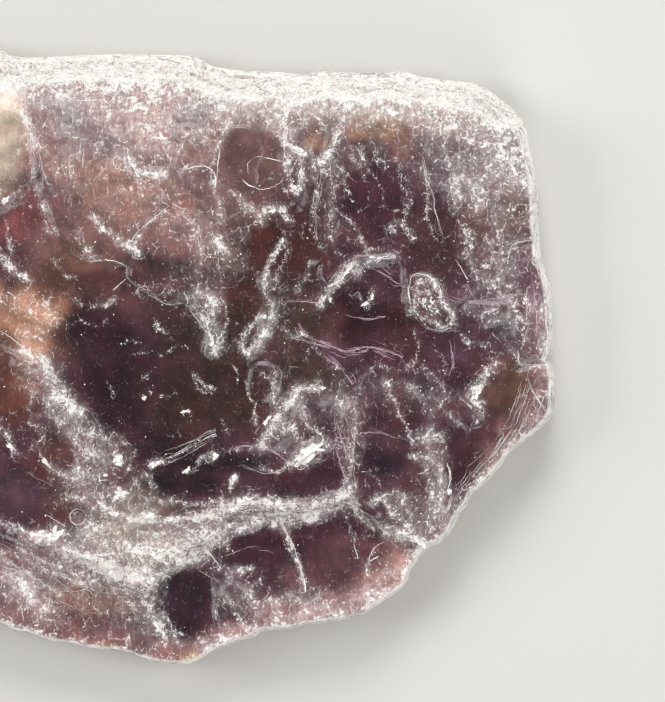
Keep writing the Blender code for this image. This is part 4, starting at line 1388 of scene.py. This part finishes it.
def slab_material():
    """Plum mica sheets under lacy frost, and the rim's bands."""
    shader = Shader("lepidolite mica")
    place = shader.place
    tint = shader.attribute("tint", "Color")
    warmth = shader.noise(place, 0.22, 3.0).eased(0.42, 0.68) * 0.4
    tint = shader.mixed(warmth, tint, shader.vector("MULTIPLY", tint, (1.25, 0.92, 0.78)))
    frost = shader.attribute("frost", "Fac")
    veil = shader.attribute("veil", "Fac")
    rim = shader.attribute("rim", "Fac")
    patch = shader.noise(place, 0.8, 4.0)
    fine = shader.noise(place, 4.5, 3.0)
    density = frost * (patch * 1.1 + 0.45) + (patch - 0.5) * 0.26 + (fine - 0.5) * 0.14
    misted = density * 0.6 + veil * (patch * 0.9 + 0.55)

    mottle = shader.noise(place, 0.45, 6.0).eased(0.25, 0.75) * 0.8 + 0.6
    streaked = shader.vector("MULTIPLY", place, (2.6, 0.35, 1.0))
    streaks = shader.noise(streaked, 1.6, 3.0) * 0.5 + 0.75
    shade = mottle * streaks * 0.56
    even = {"Red": shade, "Green": shade, "Blue": shade}
    shadow = shader.node("ShaderNodeCombineColor", "Color", None, even)
    body = shader.mixed(1.0, tint, shadow, "MULTIPLY")

    pushed = shader.warped(place, 0.8, 0.55, 4.0)
    grainy = shader.noise(pushed, 2.6, 4.0, rough=0.68)
    crust = grainy.eased(0.84 - density * 0.48, 0.91 - density * 0.48)
    upright = shader.vector("MULTIPLY", pushed, (1.25, 0.7, 1.0))
    wide_edges = shader.cells(upright, 0.75, "DISTANCE_TO_EDGE")
    small_edges = shader.cells(shader.shifted(upright, 7.3), 1.7, "DISTANCE_TO_EDGE")
    wide_net = 1 - (wide_edges / (density * 0.07 + 0.028)).eased(0.2, 1.0)
    small_net = 1 - (small_edges / (density * 0.14 + 0.045)).eased(0.2, 1.0)
    sparkle = grainy.eased(0.43, 0.57) * 0.9 + 0.1
    glow = shader.noise(place, 1.9, 3.0).eased(0.35, 0.65)
    broken = shader.noise(shader.shifted(place, 9.1), 1.1, 4.0)
    strength = density + veil * 0.3
    net = over(
        wide_net * broken.eased(0.47, 0.57) * strength.eased(0.0, 0.45),
        small_net * (1 - broken.eased(0.40, 0.52)) * strength.eased(0.06, 0.60),
    )
    lines = over(net * sparkle, crust * (fine.eased(0.38, 0.58) * 0.5 + 0.5))
    stretched = shader.vector("MULTIPLY", shader.warped(place, 0.6, 0.3), (5.0, 0.75, 1.0))
    fibres = shader.noise(stretched, 1.0, 3.0).eased(0.40, 0.64)
    # White specks in the colour: partly mica flecks and partly painted glints
    grain = shader.cells(place, 4.5, "F1")
    specks_and_glints = (1 - grain.eased(0.12, 0.26)) * shader.noise(place, 1.3, 3.0).eased(0.48, 0.64)
    specks_and_glints = specks_and_glints * (density.eased(0.0, 0.4) * 0.65 + 0.35)
    haze = misted.eased(0.10, 1.15) * 0.6
    misty = haze * (fibres * 0.2 + grainy.eased(0.35, 0.65) * 0.4 + 0.4)
    bright = over(misty, lines * (glow * 0.35 + 0.68), specks_and_glints * 0.6)
    torn = shader.mixed(patch.eased(0.35, 0.65), rgba(TORN_GREY), rgba(TORN_WHITE))
    pale = shader.mixed(0.35, torn, shader.vector("SCALE", tint, 3.2))
    torn = shader.mixed(lines, pale, torn)
    face = shader.mixed(bright, body, torn)

    tall = shader.vector("MULTIPLY", shader.warped(place, 0.5, 0.25), (0.16, 0.16, 5.0))
    bands = shader.noise(tall, 1.0, 4.0)
    flecks = shader.noise(shader.vector("MULTIPLY", place, (1.0, 1.0, 3.0)), 2.4, 4.0)
    seams = shader.line(tall, 1.3, 0.02, 3.0) * 0.55 + shader.line(tall, 2.9, 0.03, 2.0) * 0.35
    leaf = (bands + (flecks - 0.5) * 0.5).eased(0.22, 0.44) * (1 - seams)
    wall = shader.mixed(leaf, shader.mixed(0.7, tint, rgba(WALL_GREY)), rgba(WALL_WHITE))
    ragged = (patch - 0.5) * 0.9 + (grainy - 0.5) * 0.6 + (fibres - 0.5) * 0.12
    # The rim's colour share: white torn sheets, and painted light on the walls that face the slab's
    # top edge
    torn_and_lit_rim = (rim + ragged * (1 - rim * 0.6)).eased(0.16, 0.84)
    colour = shader.mixed(torn_and_lit_rim, face, wall)

    relief = shader.noise(place, 9.0, 2.0) * 0.3 * density.eased(0.05, 0.5)
    relief = lines * 0.6 + fine * 0.5 + relief
    shader.give("Base Color", colour)
    shader.give("Roughness", bright * 0.35 + fine * 0.18 + 0.2)
    shader.give("Normal", shader.bump(relief, 0.05 * MM))
    shader.give("Specular IOR Level", 0.5)
    shader.give("Coat Weight", 0.1)
    shader.give("Coat Roughness", 0.2)
    return shader.material


def dress(piece, material):
    piece.data.materials.clear()
    piece.data.materials.append(material)
    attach(piece, BODY)


def nearest_heading(place):
    """Distance from the nearest frost line in its half widths, and the way that line runs."""
    nearest = np.full(len(place), np.inf)
    heading = np.zeros(len(place))
    for _, half_width, points in FROST:
        line = open_line(points)
        for start, end in zip(line, line[1:]):
            away = distance_to_line(place, np.array([start, end]), closed=False)
            away /= half_width * MM
            closer = away < nearest
            nearest[closer] = away[closer]
            heading[closer] = math.atan2(*(end - start)[::-1])
    return nearest, heading


def torn_headings(place, random):
    """The way a torn edge runs at each place: along frost lines, with the grain, or any way."""
    count = len(place)
    found = random.uniform(0, math.tau, count)
    for angle, middles, reach in GRAINS:
        away = np.min([spot_distance(place, middle, reach) for middle in middles], axis=0)
        follows = random.random(count) < 0.75 * (1 - ease(0.7, 1.3, away))
        turned = math.radians(angle) + random.normal(0, GRAIN_SPREAD, count)
        found = np.where(follows, turned, found)
    away, along = nearest_heading(place)
    follows = random.random(count) < 0.7 * (1 - ease(0.8, 2.2, away))
    return np.where(follows, along + random.normal(0, GRAIN_SPREAD, count), found)


def scattered(count, power, random):
    """Random places on the top face, more of them where there is more frost."""
    outline = outline_ring(240)
    ring = outline - outward(outline) * SCATTER_MARGIN
    low, high = ring.min(axis=0), ring.max(axis=0)
    found = np.empty((0, 2))
    while len(found) < count:
        place = random.uniform(low, high, (4 * count, 2))
        place = place[inside(place, ring)]
        chance = frost_density(place)[0] ** power
        found = np.vstack([found, place[random.random(len(place)) < chance]])
    return found[:count]


def on_frost_lines(count, random):
    """Random places on and beside the frost lines, and the way the line runs at each."""
    parts = []
    for density, half_width, points in FROST:
        line = open_line(points)
        along = np.diff(line, axis=0)
        length = np.hypot(*along.T)
        weight = length * density**2 * (half_width + 0.15) ** 0.7
        width = np.full(len(length), half_width * MM)
        parts.append(np.column_stack([line[:-1], along, width, weight]))
    parts = np.vstack(parts)
    chosen = random.choice(len(parts), count, p=parts[:, 5] / parts[:, 5].sum())
    start, along, width = parts[chosen, :2], parts[chosen, 2:4], parts[chosen, 4]
    sideways = random.normal(0, 0.7, count) * width
    place = start + random.random((count, 1)) * along + leftward(along) * sideways[:, None]
    place = place - torn_shift(place)
    kept = random.random(count) < torn_share(place)
    return place[kept], np.arctan2(along[kept, 1], along[kept, 0])


def surface_under(tree, place):
    """Each place dropped onto the slab: its height there."""
    top, down = 20 * MM, Vector((0, 0, -1))
    found = np.full(len(place), np.nan)
    for number, (x, y) in enumerate(place):
        hit = tree.ray_cast(Vector((x, y, top)), down)[0]
        if hit is not None:
            found[number] = hit.z
    return found


def wandering_paths(start, heading, length, steps, random):
    """Jagged paths of even steps in the plane, from a start, a heading and a length each."""
    count = len(start)
    bend = random.normal(0, 0.5, count)[:, None] * np.linspace(-0.5, 0.5, steps)
    kinks = np.cumsum(random.normal(0, 0.35, (count, steps)), axis=1)
    turned = heading[:, None] + bend + kinks
    stride = (length / steps)[:, None, None]
    strides = np.stack([np.cos(turned), np.sin(turned)], axis=2) * stride
    path = np.concatenate([np.zeros((count, 1, 2)), np.cumsum(strides, axis=1)], axis=1)
    return start[:, None, :] + path - path.mean(axis=1, keepdims=True)


def paths_along(line, length, share, sideways, random):
    """Pieces of a line as paths of this length, that cover this share of it, shifted sideways."""
    run = run_along(line)
    count = max(1, round(run[-1] / length / max(share, 0.05) * share + 0.5))
    paths = []
    for number in range(count):
        if random.random() > share:
            continue
        begin = (number + random.uniform(-0.2, 0.2)) * run[-1] / count
        at = np.clip(begin + np.linspace(0, 1.25 * length, LONG_STRAND_STEPS + 1), 0, run[-1])
        if at[-1] - at[0] < 0.4 * length:
            continue
        path = np.column_stack([np.interp(at, run, line[:, 0]), np.interp(at, run, line[:, 1])])
        offset = random.normal(0, sideways)
        wavelength, seed, ways = STRAND_SWAY
        offset = offset + sideways * swell(path, wavelength, seed + number % ways)
        reach, wavelength, seed, ways = STRAND_CRINKLE
        offset = offset + reach * swell(path, wavelength, seed + number % ways)
        across = leftward(np.gradient(path, axis=0))
        paths.append(path + across * np.reshape(offset, (-1, 1)))
    return paths


def model_strand(steps):
    """A three-sided thread one unit long on X: its points and faces, thinned at both ends when it
    is laid.
    """
    bpy.ops.object.select_all(action="DESELECT")
    bpy.ops.mesh.primitive_circle_add(
        vertices=3, radius=0.5, fill_type="NGON", rotation=(0, math.pi / 2, 0)
    )
    strand = bpy.context.object
    bpy.ops.object.transform_apply(location=False, rotation=True, scale=False)
    edit(strand, "SELECT")
    for _ in range(steps):
        bpy.ops.mesh.extrude_region_move(TRANSFORM_OT_translate={"value": (1 / steps, 0, 0)})
    return taken_apart(strand)


def model_flake():
    """A thin six-sided plate one unit wide and one unit thick: its points and faces."""
    bpy.ops.object.select_all(action="DESELECT")
    bpy.ops.mesh.primitive_cylinder_add(vertices=6, radius=0.5, depth=1.0)
    flake = bpy.context.object
    edit(flake, "SELECT")
    return taken_apart(flake)


def taken_apart(piece):
    """A pattern piece in edit mode, as its points and its triangles; the piece itself goes."""
    bpy.ops.mesh.select_all(action="SELECT")
    bpy.ops.mesh.quads_convert_to_tris()
    bpy.ops.mesh.normals_make_consistent(inside=False)
    leave_edit()
    points = coordinates(piece)
    faces = np.array([list(face.vertices) for face in piece.data.polygons])
    bpy.data.objects.remove(piece)
    return points, faces


def joined_copies(name, copies, faces, bright):
    """One piece from many copies of a pattern, each with its own brightness."""
    count, each = len(copies), copies.shape[1]
    every = (faces[None] + np.arange(count)[:, None, None] * each).reshape(-1, 3)
    mesh = bpy.data.meshes.new(name)
    mesh.from_pydata(copies.reshape(-1, 3).tolist(), [], every.tolist())
    piece = bpy.data.objects.new(name, mesh)
    bpy.context.scene.collection.objects.link(piece)
    store(piece, "bright", "FLOAT", np.repeat(bright, each))
    return piece


def lay_strands(name, tree, paths, width, rise, bright):
    """A piece of strands, each a copy of one strand laid along its path on the slab."""
    steps = paths.shape[1] - 1
    points, faces = model_strand(steps)
    row = np.rint(points[:, 0] * steps).astype(int)
    height = surface_under(tree, paths.reshape(-1, 2)).reshape(paths.shape[:2])
    lies = ~np.isnan(height).any(axis=1)
    lies &= np.nan_to_num(height).min(axis=1) > LOWEST_STRAND
    paths, height, width, rise, bright = (v[lies] for v in (paths, height, width, rise, bright))
    across = leftward(np.gradient(paths, axis=1))
    thin = np.sin(np.linspace(STRAND_END, math.pi - STRAND_END, steps + 1))[row]
    copies = np.empty((len(paths), len(points), 3))
    side = points[:, 1] * thin * width[:, None]
    copies[..., :2] = paths[:, row] + across[:, row] * side[..., None]
    copies[..., 2] = height[:, row] + (points[:, 2] * thin + STRAND_SINK) * rise[:, None]
    return joined_copies(name, copies, faces, bright)


def lay_flakes(name, tree):
    """A piece of small loose plates, tilted where they lie in the frost."""
    random = np.random.default_rng(FLAKE_SEED)
    beside = on_frost_lines(FLAKES // 2, random)[0]
    place = np.vstack([beside, scattered(FLAKES - len(beside), FLAKE_GATHERING, random)])
    wide = FLAKE_WIDTH[0] + FLAKE_WIDTH[1] * random.random(len(place)) ** 3
    thick = np.full(len(place), FLAKE_THICKNESS)
    size = np.column_stack([wide, wide * random.uniform(0.5, 1.0, len(place)), thick])
    spin = random.uniform(0, math.tau, len(place))
    bright = random.uniform(0.4, 1.0, len(place))
    for middle, length, width, angle in PLATES:
        for _ in range(SPLINTERS_A_PLATE):
            turned = math.radians(angle) + random.normal(0, SPLINTER_TURN)
            along = random.uniform(-0.38, 0.38) * length * MM
            across = random.uniform(-0.3, 0.3) * width * MM
            shift = turned_round(along, across, turned)
            place = np.vstack([place, spot([middle]) + shift])
            share = random.uniform(0.3, 0.7, 2)
            splinter = (length * MM * share[0], width * MM * share[1], SPLINTER_THICKNESS)
            size = np.vstack([size, splinter])
            spin = np.append(spin, turned)
            bright = np.append(bright, random.uniform(0.6, 1.0))
    points, faces = model_flake()
    lean = random.normal(0, FLAKE_LEAN, (2, len(place)))
    lean *= np.minimum(1, FLAT_WIDTH / size[:, 0])
    scaled = points[None] * size[:, None]
    x, y = turned_round(scaled[..., 0], scaled[..., 1], spin[:, None])
    height = surface_under(tree, place) + FLAKE_LIFT
    z = scaled[..., 2] + x * lean[0][:, None] + y * lean[1][:, None] + height[:, None]
    copies = np.stack([x + place[:, :1], y + place[:, 1:], z], axis=2)
    lies = ~np.isnan(height)
    return joined_copies(name, copies[lies], faces, bright[lies])


def turned_round(x, y, angle):
    """These places turned round the origin by an angle."""
    return x * np.cos(angle) - y * np.sin(angle), x * np.sin(angle) + y * np.cos(angle)


def lace_piece(number, tree):
    """Curled torn edges of sheets, thick in the frost and sparse in the clear windows."""
    random = np.random.default_rng(LACE_SEED + number)
    start, heading = on_frost_lines(round(STRANDS_A_PIECE * SHARE_ON_LINES), random)
    beside = len(start)
    heading = heading + random.normal(0, 0.6, beside)
    spread = scattered(STRANDS_A_PIECE - beside, LACE_GATHERING, random)
    heading = np.concatenate([heading, torn_headings(spread, random)])
    start = np.vstack([start, spread])
    count = len(start)
    length = MM * np.clip(random.lognormal(*LACE_LENGTH_SPREAD, count), *LACE_LENGTH_LIMITS)
    paths = wandering_paths(start, heading, length, STRAND_STEPS, random)
    width = MM * random.uniform(*LACE_WIDTH, count)
    rise = MM * random.uniform(*LACE_RISE, count)
    bright = random.uniform(0.1, 1.0, count)
    bright[:beside] = 0.3 + 0.7 * bright[:beside]
    return lay_strands(f"frost_lace_{number + 1}", tree, paths, width, rise, bright)


def edge_piece(tree):
    """Longer torn edges along the sheets' outlines."""
    random = np.random.default_rng(EDGE_SEED)
    strands = []
    drawn = [
        (width, rise, open_line(points), 0.97, 0.55 if width > FAINT_WIDTH else 0.15)
        for width, rise, points in TORN_EDGES
    ]
    turn = np.linspace(0, math.tau, 33)
    for middle, radius in RINGED_EDGES:
        circle = spot([middle]) + radius * MM * np.column_stack([np.cos(turn), np.sin(turn)])
        drawn.append((*RINGED_SIZE, circle, 0.8, 0.3))
    for _, points in LEDGES:
        line = closed_line(points, pieces=10)
        line = np.vstack([line, line[:1]])
        drawn.append((*LEDGE_SIZE, line - drift(line, *TORN_EDGE), 0.35, 0.05))
    for width, rise, line, share, dullest in drawn:
        for sideways in EDGE_SIDEWAYS:
            for path in paths_along(line, EDGE_LENGTH, share, sideways, random):
                wide = width * MM * random.uniform(0.6, 1.2)
                high = rise * MM * random.uniform(0.7, 1.3)
                strands.append((path, wide, high, random.uniform(dullest, dullest + 0.45)))
            share *= 0.5
    for reach, points in BUNDLES:
        line = open_line(points)
        for part in BUNDLE_PARTS:
            sideways = part * (reach * MM)
            for path in paths_along(line, BUNDLE_LENGTH, BUNDLE_SHARE, sideways, random):
                wide = random.uniform(*BUNDLE_WIDTH) * MM
                high = random.uniform(*BUNDLE_RISE) * MM
                strands.append((path, wide, high, random.uniform(0.1, 0.95)))
    return lay_strands("sheet_edges", tree, *(np.array(values) for values in zip(*strands)))


def thread_piece(tree):
    """Lilac threads in the sheets."""
    random = np.random.default_rng(THREAD_SEED)
    paths = []
    for points in THREADS:
        for sideways, share in THREAD_SPREAD:
            paths += paths_along(open_line(points), THREAD_LENGTH, share, sideways * MM, random)
    count = len(paths)
    width = MM * random.uniform(*THREAD_WIDTH, count)
    rise = MM * random.uniform(*THREAD_RISE, count)
    return lay_strands("lilac_threads", tree, np.array(paths), width, rise, random.random(count))


def torn_material(name, dull, white):
    """Thin torn mica that scatters the light, each strand or flake with its own brightness."""
    shader = Shader(name)
    patch = shader.noise(shader.place, 2.2, 3.0)
    shared = shader.attribute("bright", "Fac") * 0.8 + (patch - 0.5) * 0.9 + 0.15
    shader.give("Base Color", shader.mixed(shared.eased(0, 1), rgba(dull), rgba(white)))
    shader.give("Roughness", patch * 0.3 + 0.25)
    shader.give("Specular IOR Level", 0.6)
    return shader.material


def backdrop():
    """A plain pale floor that the slab lies on."""
    bpy.ops.object.select_all(action="DESELECT")
    bpy.ops.mesh.primitive_plane_add(size=3.0, location=(0, 0, 0))
    floor = bpy.context.object
    floor.name = "floor"
    shader = Shader("floor")
    shader.give("Base Color", rgba(FLOOR_GREY))
    shader.give("Roughness", 0.9)
    floor.data.materials.append(shader.material)


def area_light(name, place, power):
    """A soft square lamp at a place, aimed at the slab."""
    bpy.ops.object.light_add(type="AREA", location=place)
    lamp = bpy.context.object
    lamp.name = name
    lamp.data.size = LAMP_SIZE
    lamp.data.energy = power
    lamp.rotation_euler = (-Vector(place)).to_track_quat("-Z", "Y").to_euler()


def light_and_camera():
    """Soft studio light, and a camera that looks straight down as the photograph's does."""
    world = bpy.data.worlds.new("studio")
    world.use_nodes = True
    background = world.node_tree.nodes["Background"]
    background.inputs["Color"].default_value = (1, 1, 1, 1)
    background.inputs["Strength"].default_value = WORLD_STRENGTH
    bpy.context.scene.world = world
    for lamp in LAMPS:
        area_light(*lamp)

    distance = LENS * PHOTO_HEIGHT * METRES_PER_PIXEL / SENSOR
    x, y = spot([(PHOTO_WIDTH / 2, PHOTO_HEIGHT / 2)])[0]
    bpy.ops.object.camera_add(location=(x, y, SHARP_HEIGHT + distance), rotation=(0, 0, 0))
    camera = bpy.context.object
    camera.name = "camera"
    camera.data.lens = LENS
    camera.data.sensor_width = SENSOR
    camera.data.clip_start = 0.01
    camera.data.clip_end = 10
    bpy.context.scene.camera = camera
    bpy.context.scene.view_settings.view_transform = "Standard"


light_and_camera()
backdrop()
slab, ranges = shape_slab()
finish_slab(slab, ranges)
dress(slab, slab_material())
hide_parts(NODE)

tree = bvhtree.BVHTree.FromPolygons(
    coordinates(slab).tolist(), [list(face.vertices) for face in slab.data.polygons]
)
frosty = torn_material("torn mica", DULL_STRAND, WHITE_STRAND)
for number in range(LACE_PIECES):
    dress(lace_piece(number, tree), frosty)
dress(edge_piece(tree), frosty)
dress(lay_flakes("mica_flakes", tree), frosty)
dress(thread_piece(tree), torn_material("lilac thread", DULL_LILAC, PALE_LILAC))
